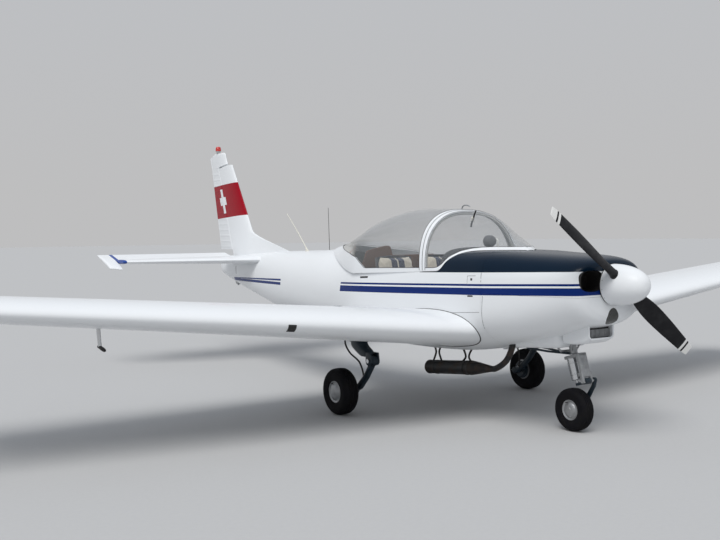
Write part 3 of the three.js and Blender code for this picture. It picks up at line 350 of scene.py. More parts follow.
def within(tree, value, low, high):
    return times(tree, calc(tree, "GREATER_THAN", value, low), calc(tree, "LESS_THAN", value, high))


def sloped(tree, station, slope, offset):
    return calc(tree, "MULTIPLY_ADD", station, slope, offset)


white = (0.82, 0.84, 0.86)
blue = (0.0, 0.019, 0.145)
navy = (0.002, 0.011, 0.026)
white_paint, tree, shader, total, dust = paint("white_gelcoat", white)
finish_paint(tree, shader, (*white, 1), total, dust)

striped_paint, tree, shader, total, dust = paint("striped_gelcoat", white)
axes = axes_of(tree, object_place(tree))
station = calc(tree, "ADD", axes["Y"], length / 2000)
above_line = calc(tree, "SUBTRACT", axes["Z"], sloped(tree, station, -0.0298, 1.121))
front_span = within(tree, station, 0.30, 3.39)
broad = within(tree, above_line, 0.0, 0.0585)
narrow = within(tree, above_line, 0.073, 0.0905)
front_stripes = times(tree, front_span, calc(tree, "MAXIMUM", broad, narrow))
back = calc(tree, "SUBTRACT", station, 4.957)
back_narrow = within(tree, axes["Z"], sloped(tree, back, -0.0172, 1.062), sloped(tree, back, -0.0242, 1.084))
back_broad = within(tree, axes["Z"], sloped(tree, back, -0.0070, 1.013), sloped(tree, back, -0.0064, 1.045))
back_stripes = times(tree, within(tree, back, 0.0, 1.70), calc(tree, "MAXIMUM", back_narrow, back_broad))
deck_line = sloped(tree, station, -0.0246, 1.298)
deck = times(tree, calc(tree, "GREATER_THAN", axes["Z"], deck_line), calc(tree, "LESS_THAN", station, 2.0))
stripes = blended(tree, calc(tree, "MAXIMUM", front_stripes, back_stripes), (*white, 1), (*blue, 1))
# The stripes stay off the cabin's inner walls, which are bare grey laminate and face the middle.
facing = axes_of(tree, node(tree, "TexCoord").outputs["Normal"])["X"]
inward = calc(tree, "LESS_THAN", times(tree, facing, axes["X"]), -0.02)
inward = times(tree, inward, calc(tree, "GREATER_THAN", station, 1.21))
outer = blended(tree, deck, stripes, (*navy, 1))
finish_paint(tree, shader, blended(tree, inward, outer, (0.42, 0.42, 0.41, 1)), total, dust)


def opening_angle(station):
    if station < 1236 or station > 4120:
        return math.pi / 2
    if station < 1500:
        _, top, wide, _, half, above, _ = table_row(hull_table, station)
        share = np.interp(station, *zip(*deck_opening)) / half
        return math.atan2((1 - share**above) ** (1 / above), share)
    return hull_angle(station, table_row(sill_table, station)[1])


hull_stations = np.concatenate([
    np.arange(firewall_station + 0.6, 1234, 12), np.arange(1236, 1480, 6), np.arange(1480, 1800, 10),
    np.arange(1800, 3040, 26),
    np.arange(3040, 4000, 20), np.arange(4000, 4124, 6), np.arange(4124, 6700, 46), np.arange(6700, 7120, 20),
    np.arange(7120, 7161, 8),
])
rows = []
for station in hull_stations:
    lip = opening_angle(station)
    rows.append(hull_ring(station, np.linspace(math.pi - lip, 2 * math.pi + lip, 121)))
fuselage_skin = grid_piece("fuselage_skin", rows)
walled(fuselage_skin, hull_wall)
fitted(fuselage_skin, striped_paint, stands_for=("fuselage", "tail_cone"))

# Engine cowling: an upper and a lower glass-fibre shell, 3 mm thick at the lip, round the engine. They
# meet along a level joint and are held by rows of quarter-turn screws. Two air inlets are cut in the nose
# bowl.
cowl_wall = 6
cowl_front = 318
cowl_split = 1096
split_gap = 0.8
thrust_z = 1184
shaft_hole = 96
inlet = {"x": 229, "z": 1218, "half": 118, "high": 80}
cowl_stations = np.concatenate([
    np.array([cowl_front, 320, 323, 327, 332, 338, 345, 354, 365, 380]), np.arange(400, 1190, 22), [1194.4],
])


def nose_ring(share, angles):
    rim = hull_ring(cowl_front, angles)
    x, z = shaft_hole * np.cos(angles), thrust_z + shaft_hole * np.sin(angles)
    hole = np.stack([x, np.full_like(angles, cowl_front), z], -1)
    return hole + (rim - hole) * share


def cowl_shell(name, start_of, end_of):
    rows = []
    for share in np.linspace(0, 1, 9)[:-1]:
        # The joint's height is kept across the flat face of the nose bowl.
        angles = np.linspace(*face_turn(share, start_of is upper_start), 97)
        rows.append(nose_ring(share, angles))
    for station in cowl_stations:
        rows.append(hull_ring(station, np.linspace(start_of(station), end_of(station), 97)))
    return walled(grid_piece(name, rows), cowl_wall)


def upper_start(station):
    return hull_angle(station, cowl_split + split_gap)


def upper_end(station):
    return math.pi - upper_start(station)


def lower_start(station):
    return math.pi - hull_angle(station, cowl_split - split_gap)


def lower_end(station):
    return 2 * math.pi + hull_angle(station, cowl_split - split_gap)


def face_turn(share, upper):
    level = cowl_split + (split_gap if upper else -split_gap)
    low, high = -math.pi / 2, math.pi / 2
    for _ in range(40):
        middle = (low + high) / 2
        if nose_ring(share, np.array([middle]))[0, 2] < level:
            low = middle
        else:
            high = middle
    return (low, math.pi - low) if upper else (math.pi - low, 2 * math.pi + low)


def circle(count):
    return np.linspace(0, 2 * math.pi, count, endpoint=False)


def solid(name, rows, merge=2e-5):
    return grid_piece(name, rows, wrap=True, cap_first=True, cap_last=True, merge=merge)


def super_tube(place, half, high, power, stations):
    angles = circle(48)
    rows = []
    for station in stations:
        x, z = oval(angles, half, high, high, power, power)
        rows.append(np.stack([place[0] + x, np.full_like(x, station), place[1] + z], -1))
    return rows


def bar_rows(start, end, radius):
    start, end = np.array(start, float), np.array(end, float)
    axis = (end - start) / np.linalg.norm(end - start)
    side = np.cross(axis, [0, 0, 1.0] if abs(axis[2]) < 0.9 else [0, 1.0, 0])
    side /= np.linalg.norm(side)
    other = np.cross(axis, side)
    turns = circle(48)
    ring = np.outer(np.cos(turns), side) + np.outer(np.sin(turns), other)
    return [start + ring * radius, end + ring * radius]


def inlet_cutter(side):
    rows = super_tube((side * inlet["x"], inlet["z"]), inlet["half"], inlet["high"], 2.9, [296, 470])
    return solid("cutter", rows)


lamp_start, lamp_end = (0, 266, 864), (0, 366, 964)
upper_cowl = cowl_shell("cowling_upper_skin", upper_start, upper_end)
cut(upper_cowl, inlet_cutter(1), inlet_cutter(-1))
fitted(upper_cowl, striped_paint, stands_for=("cowling_upper",))
lower_cowl = cowl_shell("cowling_lower_skin", lower_start, lower_end)
cut(lower_cowl, solid("cutter", bar_rows(lamp_start, lamp_end, 67.4)))
fitted(lower_cowl, striped_paint, stands_for=("cowling_lower",))

# Inlet ducts: short black moulded trunks behind the two inlets, that lead the air over the cylinders.
def tint(tree, shader, share, first, second):
    feed(tree, shader.inputs["Base Color"], blended(tree, share, (*first, 1), (*second, 1)))


def gloss(tree, shader, share, low, high, low_out, high_out):
    feed(tree, shader.inputs["Roughness"], ramp(tree, share, low, high, low_out, high_out))


def clouded(name, colour, roughness, metallic=0.0, cloud=(), shades=(), shine=None, grain=None, **sockets):
    """A material whose colour drifts between two shades. Cloud, and the first items of shine and grain, are
    noise settings. Shine goes on with a range of roughness, and grain with the bumps' depth and strength."""
    material, tree, shader = shader_for(name, colour, roughness, metallic, **sockets)
    place = object_place(tree)
    if shades:
        tint(tree, shader, noise(tree, place, *cloud), *shades)
    if shine:
        gloss(tree, shader, noise(tree, place, *shine[0]), *shine[1:])
    if grain:
        bump(tree, shader, noise(tree, place, *grain[0]), *grain[1:])
    return material


duct_black = clouded("duct_black", (0.012, 0.012, 0.013), 0.7, cloud=(30,),
                     shades=((0.008, 0.008, 0.009), (0.03, 0.028, 0.026)), grain=((90,), 0.001, 0.4))
for side in (1, -1):
    rows = []
    for station, shrink in [(324, 1), (340, 0), (380, 3), (430, 10), (482, 18)]:
        behind = station - 324
        place = (side * (inlet["x"] - behind * 0.16), inlet["z"] - behind * 0.05)
        rows += super_tube(place, inlet["half"] - 2 - shrink, inlet["high"] - 2 - shrink, 2.9, [station])
    # Each trunk is closed at its back by a black end: painted shade in the depth of the inlet.
    duct = grid_piece("inlet_duct_" + ("left" if side > 0 else "right"), rows, wrap=True, cap_last=True)
    fitted(duct, duct_black)

# Screws: stainless quarter-turn and countersunk screws with a cross slot, used all over the skins.
# Each row of them is a list of places with the direction that the head faces.
screw_steel = clouded("screw_steel", (0.42, 0.43, 0.44), 0.38, 0.85, shine=((300,), 0, 1, 0.28, 0.5))


def screw_tree():
    tree = bpy.data.node_groups.new("screw_rows", "GeometryNodeTree")
    tree.is_modifier = True
    face = tree.interface
    face.new_socket("Geometry", in_out="INPUT", socket_type="NodeSocketGeometry")
    for name, value in (("Head Radius", 0.004), ("Head Height", 0.0012)):
        face.new_socket(name, in_out="INPUT", socket_type="NodeSocketFloat").default_value = value
    face.new_socket("Seed", in_out="INPUT", socket_type="NodeSocketInt").default_value = 3
    face.new_socket("Finish", in_out="INPUT", socket_type="NodeSocketMaterial")
    face.new_socket("Geometry", in_out="OUTPUT", socket_type="NodeSocketGeometry")

    def made(kind, fed=None, **settings):
        each = tree.nodes.new(kind)
        for key, value in settings.items():
            setattr(each, key, value)
        for key, value in (fed or {}).items():
            feed(tree, each.inputs[key], value)
        return each

    given = made("NodeGroupInput").outputs
    head = made("GeometryNodeMeshCone", {
        "Vertices": 10, "Radius Bottom": given["Head Radius"], "Depth": given["Head Height"],
        "Radius Top": made("ShaderNodeMath", {0: given["Head Radius"], 1: 0.72},
                           operation="MULTIPLY").outputs[0],
    }, fill_type="NGON")
    wide = made("ShaderNodeMath", {0: given["Head Radius"], 1: 1.1}, operation="MULTIPLY").outputs[0]
    thin = made("ShaderNodeMath", {0: given["Head Radius"], 1: 0.28}, operation="MULTIPLY").outputs[0]
    slot_size = made("ShaderNodeCombineXYZ", {0: wide, 1: thin, 2: given["Head Height"]}).outputs[0]
    slot_bar = made("GeometryNodeMeshCube", {"Size": slot_size})
    lifted = made(
        "ShaderNodeCombineXYZ",
        {2: made("ShaderNodeMath", {0: given["Head Height"], 1: 0.85}, operation="MULTIPLY").outputs[0]})
    slot_up = made("GeometryNodeTransform",
                   {"Geometry": slot_bar.outputs["Mesh"], "Translation": lifted.outputs[0]})
    slotted = made("GeometryNodeMeshBoolean",
                   {"Mesh 1": head.outputs["Mesh"], "Mesh 2": slot_up.outputs[0]}, operation="DIFFERENCE")
    aim = made("GeometryNodeInputNamedAttribute", {"Name": "aim"}, data_type="FLOAT_VECTOR")
    facing = made("FunctionNodeAlignRotationToVector", {"Vector": aim.outputs["Attribute"]}, axis="Z")
    spin = made("FunctionNodeRandomValue",
                {"Min": (0, 0, 0), "Max": (0, 0, 3.1416), "Seed": given["Seed"]},
                data_type="FLOAT_VECTOR")
    turned = made("FunctionNodeRotateRotation",
                  {"Rotation": facing.outputs[0], "Rotate By": spin.outputs[0]}, rotation_space="LOCAL")
    heads = made("GeometryNodeInstanceOnPoints", {
        "Points": given["Geometry"], "Instance": slotted.outputs[0], "Rotation": turned.outputs[0],
    })
    real = made("GeometryNodeRealizeInstances", {"Geometry": heads.outputs[0]})
    finished = made("GeometryNodeSetMaterial", {"Geometry": real.outputs[0], "Material": given["Finish"]})
    made("NodeGroupOutput", {"Geometry": finished.outputs[0]})
    return tree


screws = screw_tree()


def socket_name(tree, name):
    return next(item.identifier for item in tree.interface.items_tree
                if item.name == name and item.in_out == "INPUT")


def screw_row(name, places, aims, radius, height, slot="gear_silver", body="airframe", finish=None):
    piece = new_piece(name, placed(places), [])
    aims = np.asarray(aims, float)
    piece.data.attributes.new("aim", "FLOAT_VECTOR", "POINT").data.foreach_set("vector", aims.ravel())
    rows = piece.modifiers.new("screws", "NODES")
    rows.node_group = screws
    rows[socket_name(screws, "Head Radius")] = radius / 1000
    rows[socket_name(screws, "Head Height")] = height / 1000
    rows[socket_name(screws, "Seed")] = len(places)
    rows[socket_name(screws, "Finish")] = finish or screw_steel
    baked(piece)
    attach(piece, body)
    return piece


def hull_places(pairs, lift=0.0):
    places, aims = [], []
    for station, angle in pairs:
        ring = hull_ring(station, np.array([angle - 0.01, angle, angle + 0.01]))
        ahead_ring = hull_ring(station + 3, np.array([angle]))[0]
        across = ring[2] - ring[0]
        normal = np.cross(across, ahead_ring - ring[1])
        normal /= np.linalg.norm(normal)
        if normal[0] * ring[1][0] + normal[2] * (ring[1][2] - thrust_z) < 0:
            normal = -normal
        places.append(ring[1] + normal * lift)
        aims.append(normal)
    return places, aims


joint_pairs = [(1178, angle) for angle in np.linspace(-0.42 * math.pi, 1.42 * math.pi, 25)]
joint_pairs += [(station, hull_angle(station, cowl_split + 16)) for station in np.arange(380, 1160, 112)]
joint_pairs += [(station, math.pi - hull_angle(station, cowl_split + 16))
                for station in np.arange(380, 1160, 112)]
screw_row("cowling_screws", *hull_places(joint_pairs, 0.4), 5, 1.2, slot="white_skin", finish=striped_paint)

# Landing light: a clear lens let flush into the chin of the lower cowling, over a bright bowl and its bulb.
# A thin metal ring clamps the lens to the shell.
lamp_behind = np.array([0, 236, 834.0])
lamp_axis = np.array([0, 1, 1]) / math.sqrt(2)
lamp_across, lamp_up = np.array([1.0, 0, 0]), np.array([0, -1, 1]) / math.sqrt(2)


def in_hull(point, inset):
    _, top, wide, low, half, above, below = table_row(hull_table, max(point[1], cowl_front))
    height, power = (top - wide, above) if point[2] >= wide else (wide - low, below)
    shape = abs(point[0] / (half - inset)) ** power + abs((point[2] - wide) / (height - inset)) ** power
    return shape < 1 and point[1] > cowl_front + inset


def on_hull_along(start, axis, reach, inset):
    near, far = 0.0, reach
    for _ in range(18):
        middle = (near + far) / 2
        if in_hull(start + axis * middle, inset):
            far = middle
        else:
            near = middle
    return start + axis * near


def lens_rows(radii, inset, sides=48):
    rows = []
    for radius in radii:
        row = []
        for turn in circle(sides):
            start = lamp_behind + radius * (math.cos(turn) * lamp_across + math.sin(turn) * lamp_up)
            row.append(on_hull_along(start, lamp_axis, 240, inset))
        rows.append(row)
    return rows


lens_glass, tree, shader = shader_for("lens_glass", (0.035, 0.037, 0.033), 0.06, IOR=1.5, Coat_Weight=0.5)
edge = node(tree, "LayerWeight", {"Blend": 0.5}).outputs["Facing"]
feed(tree, shader.inputs["Alpha"], ramp(tree, edge, 0, 1, 0.66, 0.92))
lens = walled(grid_piece("landing_light_lens", lens_rows([0.5, 12, 24, 36, 48, 58, 64.8], 1.0), wrap=True), 3)
fitted(lens, lens_glass, stands_for=("landing_light",))
ring_rows = lens_rows([64.9, 65.4, 70.5, 71.5], -0.7)
lens_ring = walled(grid_piece("landing_light_ring", ring_rows, wrap=True), 2)
fitted(lens_ring, white_paint)
bright_metal = clouded("bright_metal", (0.62, 0.63, 0.64), 0.25, 1.0, cloud=(9, 3),
                       shades=((0.56, 0.57, 0.58), (0.66, 0.67, 0.68)),
                       shine=((30, 3), 0.2, 0.8, 0.18, 0.27))
bowl_rows = lens_rows([62.5], 4.5, sides=40)
for depth, radius in [(198, 61), (208, 57), (220, 48), (231, 34), (239, 16), (241, 1)]:
    middle = lamp_behind + lamp_axis * depth
    turns = circle(40)
    ring = np.outer(np.cos(turns), lamp_across) + np.outer(np.sin(turns), lamp_up)
    bowl_rows.append(middle + radius * ring)
lamp_bowl = grid_piece("landing_light_bowl", bowl_rows, wrap=True, cap_last=True)
lamp_bowl.data.flip_normals()
fitted(walled(lamp_bowl, 2, 1.0), bright_metal)


def pipe_rows(points, radii, count=16):
    points = np.asarray(points, float)
    radii = np.broadcast_to(np.asarray(radii, float), len(points))
    tangents = np.gradient(points, axis=0)
    tangents /= np.linalg.norm(tangents, axis=1)[:, None]
    side = np.cross(tangents[0], [0.31, 0.17, 0.93])
    side /= np.linalg.norm(side)
    turns = circle(count)
    rows = []
    for point, tangent, radius in zip(points, tangents, radii):
        side = side - tangent * side.dot(tangent)
        side /= np.linalg.norm(side)
        other = np.cross(tangent, side)
        rows.append(point + radius * (np.outer(np.cos(turns), side) + np.outer(np.sin(turns), other)))
    return rows


def smooth_route(points, steps):
    points = np.asarray(points, float)
    spans = np.concatenate([[0], np.cumsum(np.linalg.norm(np.diff(points, axis=0), axis=1))])
    table = [(span, *point) for span, point in zip(spans, points)]
    return np.array([table_row(table, along)[1:] for along in np.linspace(0, spans[-1], steps)])


def pipe(name, route, radius, count=16, closed=False):
    if closed:
        return grid_piece(name, pipe_rows(route, radius, count), wrap=True)
    return solid(name, pipe_rows(route, radius, count))


def joined(name, pieces):
    work = bmesh.new()
    for piece in pieces:
        work.from_mesh(piece.data)
    mesh = bpy.data.meshes.new(name)
    work.to_mesh(mesh)
    work.free()
    for piece in pieces:
        bpy.data.objects.remove(piece)
    made = bpy.data.objects.new(name, mesh)
    bpy.context.scene.collection.objects.link(made)
    return made


# Air scoop: a small moulded box under the cowling that feeds the oil cooler. Its mouth has a rounded
# white lip and a row of upright guide vanes, and its back closes against the cowling.
scoop_table = [  # station, top, bottom, half width
    (436, 880, 757, 141), (500, 870, 724, 147), (640, 830, 708, 150), (700, 800, 712, 143),
    (716, 790, 726, 130),
]


def trough_ring(half, top, bottom, corner, count=10):
    corner = min(corner, (top - bottom) * 0.48, half * 0.9)
    turns = np.linspace(math.pi, 1.5 * math.pi, count)
    left = np.stack([-half + corner + corner * np.cos(turns), bottom + corner + corner * np.sin(turns)], -1)
    side = np.stack([np.full(6, -half), np.linspace(top, bottom + corner, 6)], -1)[:-1]
    floor_line = np.stack([np.linspace(-half + corner, 0, 8), np.full(8, bottom)], -1)[1:]
    near = np.concatenate([side, left, floor_line])
    far = near[::-1][1:] * [-1, 1]
    return np.concatenate([near, far])


def trough_rows(table, stations, corner, swell=0.0):
    rows = []
    for station in stations:
        _, top, bottom, half = table_row(table, station)
        ring = trough_ring(half + swell, top, bottom - swell, corner)
        rows.append(np.stack([ring[:, 0], np.full(len(ring), station), ring[:, 1]], -1))
    return rows


scoop_stations = np.concatenate([np.arange(437, 660, 14), np.arange(660, 716, 7), [716]])
scoop_outer = trough_rows(scoop_table, scoop_stations, 36)
last = scoop_outer[-1]
closing = [last * [share, 1, 1] + [0, 6 * (1 - share), (1 - share) * 30] for share in (0.8, 0.5, 0.2)]
scoop = grid_piece("air_scoop_shell", scoop_outer + closing)
walled(scoop, 6)
lip = scoop_outer[0] * [0.96, 1, 1] + [0, 1, 5]
scoop = joined("air_scoop_shell", [scoop, pipe("lip", lip, 8.5, 14)])
fitted(scoop, white_paint, stands_for=("air_scoop",))


def slat_tree():
    tree = bpy.data.node_groups.new("slat_row", "GeometryNodeTree")
    tree.is_modifier = True
    face = tree.interface
    face.new_socket("Geometry", in_out="INPUT", socket_type="NodeSocketGeometry")
    face.new_socket("Count", in_out="INPUT", socket_type="NodeSocketInt").default_value = 9
    for name in ("Start", "Step", "Size"):
        face.new_socket(name, in_out="INPUT", socket_type="NodeSocketVector")
    face.new_socket("Finish", in_out="INPUT", socket_type="NodeSocketMaterial")
    face.new_socket("Geometry", in_out="OUTPUT", socket_type="NodeSocketGeometry")
    given = tree.nodes.new("NodeGroupInput").outputs
    line = tree.nodes.new("GeometryNodeMeshLine")
    slat = tree.nodes.new("GeometryNodeMeshCube")
    spread = tree.nodes.new("GeometryNodeInstanceOnPoints")
    real = tree.nodes.new("GeometryNodeRealizeInstances")
    finished = tree.nodes.new("GeometryNodeSetMaterial")
    output = tree.nodes.new("NodeGroupOutput")
    for start, end in (
        (given["Count"], line.inputs["Count"]), (given["Start"], line.inputs["Start Location"]),
        (given["Step"], line.inputs["Offset"]), (given["Size"], slat.inputs["Size"]),
        (line.outputs[0], spread.inputs["Points"]), (slat.outputs["Mesh"], spread.inputs["Instance"]),
        (spread.outputs[0], real.inputs[0]), (real.outputs[0], finished.inputs[0]),
        (given["Finish"], finished.inputs["Material"]), (finished.outputs[0], output.inputs[0]),
    ):
        tree.links.new(start, end)
    return tree


slats = slat_tree()


def slat_row(name, count, start, step, size, finish, body="airframe"):
    piece = new_piece(name, [], [])
    rows = piece.modifiers.new("slats", "NODES")
    rows.node_group = slats
    rows[socket_name(slats, "Count")] = count
    rows[socket_name(slats, "Start")] = tuple(placed(start))
    rows[socket_name(slats, "Step")] = tuple(np.array(step, float) / 1000)
    rows[socket_name(slats, "Size")] = tuple(np.array(size, float) / 1000)
    rows[socket_name(slats, "Finish")] = finish
    baked(piece)
    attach(piece, body)
    return piece


vane_grey = clouded("vane_grey", (0.30, 0.31, 0.32), 0.5, cloud=(40, 4),
                    shades=((0.22, 0.225, 0.23), (0.40, 0.41, 0.42)), grain=((160,), 0.0006, 0.5))
slat_row("scoop_panels", 5, (-108, 476, 800), (54, 0, 0), (50, 5, 62), vane_grey)
slat_row("scoop_ribs", 20, (-128.25, 472, 800), (13.5, 0, 0), (2.5, 5, 60), vane_grey)
# A black box behind the vanes fills the scoop's mouth above and below them: painted shade under the cowling's
# chin.
scoop_back = new_piece("scoop_core", placed([
    (-132, 482, 752), (132, 482, 752), (132, 482, 862), (-132, 482, 862),
    (-132, 488, 752), (132, 488, 752), (132, 488, 862), (-132, 488, 862),
]), [(0, 1, 2, 3), (7, 6, 5, 4), (0, 4, 5, 1), (1, 5, 6, 2), (2, 6, 7, 3), (3, 7, 4, 0)])
tidy_mesh(scoop_back)
fitted(scoop_back, duct_black)

# Outlet fairing: a shallow moulded blister behind the scoop that lets the warm air out under the firewall.
# It is bonded to the lower cowling and painted with it.
fairing_table = [  # station, top, bottom, half width
    (720, 800, 704, 152), (742, 790, 676, 182), (800, 780, 663, 196), (1000, 740, 650, 200),
    (1200, 700, 632, 192), (1300, 680, 612, 170), (1400, 660, 594, 140),
]
fairing_stations = np.concatenate([np.arange(720, 800, 8), np.arange(800, 1400, 25), [1400]])
fairing = grid_piece("cowl_outlet_blister", trough_rows(fairing_table, fairing_stations, 58),
                     cap_first=True, cap_last=True)
fitted(fairing, white_paint, stands_for=("cowl_outlet_fairing",))

# Spinner: a spun aluminium cone, painted white, screwed to a back plate that turns with the propeller.
# Each blade comes out through its own close cut-out.
spinner_radius, spinner_length, spinner_wall = 158, 306, 4


def turned(name, profile, sides=96, centre=(0, 0, thrust_z), axis="y", wrap_profile=False):
    turns = circle(sides)
    rows = []
    for radius, along in profile:
        across = radius * np.cos(turns)
        up = radius * np.sin(turns)
        flat = np.full(sides, float(along))
        ring = np.stack([across, flat, up], -1) if axis == "y" else np.stack([flat, across, up], -1)
        rows.append(ring + np.array(centre))
    if wrap_profile:
        rows.append(rows[0])
    return grid_piece(name, rows, wrap=True)


def spinner_profile(inset, steps=36):
    radius, reach = spinner_radius - inset, spinner_length - inset
    turns = np.linspace(0, math.pi / 2, steps)
    return [(radius * math.sin(t) ** 0.82, spinner_length - reach * math.cos(t)) for t in turns]


blade_table = [  # share of the radius, chord, thickness, pitch in degrees
    (0.06, 84, 78, 40), (0.17, 88, 66, 40), (0.26, 118, 46, 37), (0.4, 138, 28, 33),
    (0.6, 132, 19, 27), (0.8, 113, 13, 22), (0.94, 96, 9, 19), (1.0, 80, 6, 18),
]
blade_reach, blade_station = 940, 210
blade_parked = math.radians(53.9)
blade_out = np.array([-math.sin(blade_parked), 0, math.cos(blade_parked)])
blade_side = np.array([math.cos(blade_parked), 0, math.sin(blade_parked)])
blade_aft = np.array([0, 1.0, 0])


def blade_rows(shares, swell=0.0, count=36, half_turn=1):
    turns = circle(count)
    rows = []
    for share in shares:
        _, chord, thick, pitch = table_row(blade_table, share)
        twist = math.radians(pitch)
        tip_round = math.sqrt(max(1 - max((share - 0.985) / 0.0155, 0) ** 2, 0.02))
        along = (chord / 2 * (0.86 + 0.14 * tip_round) + swell) * np.cos(turns)
        flat = max(min((share - 0.12) / 0.25, 1), 0) * 0.35
        out = (thick / 2 * tip_round + swell) * np.sin(turns) * (1 - flat * (np.sin(turns) > 0))
        x = along * math.cos(twist) - out * math.sin(twist)
        y = along * math.sin(twist) + out * math.cos(twist)
        across = np.outer(x, blade_side) + share * blade_reach * blade_out
        ring = half_turn * across + np.outer(y, blade_aft)
        rows.append(ring + np.array([0, blade_station, thrust_z]))
    return rows


spinner_skin = [(0.4, 0.0)] + spinner_profile(0)[1:]
spinner_inside = [(0.4, float(spinner_wall))] + spinner_profile(spinner_wall)[1:]
spinner = turned("spinner_shell", spinner_skin + spinner_inside[::-1], wrap_profile=True)
blade_holes = [solid("cutter", blade_rows([0.05, 0.12, 0.18, 0.24], 3.0, half_turn=way)) for way in (1, -1)]
cut(spinner, *blade_holes)
fitted(spinner, white_paint, body="propeller", stands_for=("spinner",))
nose_seal = turned("nose_seal", [(98, 314), (152, 314), (155, 316), (155, 318.6), (98, 318.6)],
                   wrap_profile=True)
fitted(nose_seal, duct_black)
screw_turns = circle(14) + 0.2
spinner_edge = np.stack(
    [157.2 * np.cos(screw_turns), np.full(14, 291.0), thrust_z + 157.2 * np.sin(screw_turns)], -1)
spinner_aims = np.stack([np.cos(screw_turns), np.full(14, -0.12), np.sin(screw_turns)], -1)
screw_row("spinner_screws", spinner_edge, spinner_aims, 5.0, 1.4, body="propeller")

# Propeller blades: two aluminium blades, painted matt black against glare, with white safety bands at the
# tips. Their round roots clamp into the forged hub inside the spinner.
blade_black, tree, shader = shader_for("blade_black", (0.010, 0.010, 0.012), 0.42, Specular_IOR_Level=0.18)
place = object_place(tree)
axes = axes_of(tree, place)
reach = calc(tree, "ADD", times(tree, axes["X"], float(blade_out[0])),
             times(tree, calc(tree, "SUBTRACT", axes["Z"], thrust_z / 1000), float(blade_out[2])))
reach = calc(tree, "ABSOLUTE", reach)
bands = calc(tree, "MAXIMUM", within(tree, reach, 0.877, 1.0), within(tree, reach, 0.834, 0.859))
worn_black = blended(tree, ramp(tree, noise(tree, place, 9, 5, 0.6), 0.45, 0.7), (0.006, 0.006, 0.008, 1),
                     (0.018, 0.018, 0.020, 1))
feed(tree, shader.inputs["Base Color"], blended(tree, bands, worn_black, (0.78, 0.78, 0.76, 1)))
gloss(tree, shader, noise(tree, place, 25, 4), 0.2, 0.8, 0.34, 0.55)
bump(tree, shader, noise(tree, place, 500, 2), 0.0002, 0.4)
blade_shares = np.concatenate([np.linspace(0.06, 0.96, 46), [0.975, 0.985, 0.99, 0.994, 0.997, 0.999, 1.0]])
for way, name in ((1, "blade_a"), (-1, "blade_b")):
    blade = solid("propeller_" + name, blade_rows(blade_shares, half_turn=way))
    fitted(blade, blade_black, body="propeller", stands_for=(name,), angle=60)
dressed(bright_metal, "propeller_hub")

# Windscreen: one blown acrylic panel in a moulded white frame, bonded to the deck, with a bow at its back.
# The canopy behind it carries the second bow, and rubber seals close the joints.
canopy_table = [  # station, top, half width at the base, roundness of the section
    (1195, 1440, 181, 2.2), (1240, 1460, 177, 2.2), (1290, 1484, 231, 2.0), (1360, 1514, 342, 1.8),
    (1440, 1546, 468, 1.65), (1590, 1624, 572, 1.65), (1730, 1696, 558, 1.9), (1900, 1764, 554, 2.4),
    (2109, 1809, 556, 2.7), (2332, 1824, 556, 2.6), (2588, 1824, 552, 2.45), (2811, 1798, 546, 2.35),
    (3050, 1752, 532, 2.25), (3130, 1732, 522, 2.2), (3288, 1686, 483, 2.1), (3480, 1618, 423, 2.1),
    (3665, 1550, 366, 2.1), (3809, 1506, 320, 2.2), (3950, 1476, 268, 2.4), (4040, 1461, 223, 2.6),
    (4092, 1453, 174, 2.6),
]
canopy_base = 1200
bow_station, bow_gap, bow_band, bow_lean = 1954, 6, 38, 0.11
screen_window = [  # station, height of the glass's lower edge
    (1150, 1463), (1290, 1465), (1400, 1467), (1480, 1464), (1530, 1456), (1590, 1436), (1660, 1384),
    (1715, 1322), (1760, 1299), (1810, 1292), (2000, 1288), (2100, 1286),
]
canopy_window = [
    (2040, 1288), (2600, 1274), (2860, 1266), (2896, 1269), (2930, 1288), (3080, 1366), (3300, 1402),
    (3600, 1434), (3850, 1464), (3960, 1480), (4060, 1490),
]


def bubble_ring(station, angles, lift=0.0):
    # The bows lean aft as they rise, and the rows near them lean with them.
    lean = bow_lean * max(0.0, 1 - abs(station - bow_station) / 340)
    places = np.full_like(angles, station)
    for _ in range(3 if lean else 1):
        if lean:
            _, top, half, power = np.array([table_row(canopy_table, place) for place in places]).T
        else:
            _, top, half, power = table_row(canopy_table, station)
        x, z = oval(angles, half + lift, top - canopy_base + lift, top - canopy_base + lift, power, power)
        places = station + lean * z
    return np.stack([x, places, canopy_base + z], -1)


def bubble_angle(station, z):
    _, top, _, power = table_row(canopy_table, station)
    share = min(max((z - canopy_base) / (top - canopy_base), 0.0), 1.0)
    return math.atan2(share, (1 - share**power) ** (1 / power))


def sill_angle(station, lift=1.0):
    return bubble_angle(station, table_row(sill_table, station)[1] + lift)


def window_angle(window, station, lift=0.0):
    return bubble_angle(station, np.interp(station, [p[0] for p in window], [p[1] for p in window]) + lift)


def frame_rows(stations, window, lift):
    rows = []
    for station in stations:
        low = sill_angle(station)
        high = max(window_angle(window, station), low)
        strip = np.linspace(low, high, 9)
        middle = np.linspace(high, math.pi - high, 61)[1:-1]
        angles = np.concatenate([strip, middle, math.pi - strip[::-1]])
        rows.append(bubble_ring(station, angles, lift))
    return rows


def frame_piece(name, stations, window, lift, band):
    rows = np.array(frame_rows(stations, window, lift))
    width = rows.shape[1]
    faces = []
    for r in range(len(rows) - 1):
        full = band[0] <= stations[r] < band[1]
        for c in range(width - 1):
            if full or c < 8 or c >= width - 9:
                a = r * width + c
                faces.append((a, a + 1, a + 1 + width, a + width))
    piece = new_piece(name, placed(rows.reshape(-1, 3)), faces)
    loose_away(piece)
    tidy_mesh(piece)
    return piece


def loose_away(piece):
    work = bmesh.new()
    work.from_mesh(piece.data)
    bmesh.ops.delete(work, geom=[v for v in work.verts if not v.link_faces], context="VERTS")
    work.to_mesh(piece.data)
    work.free()


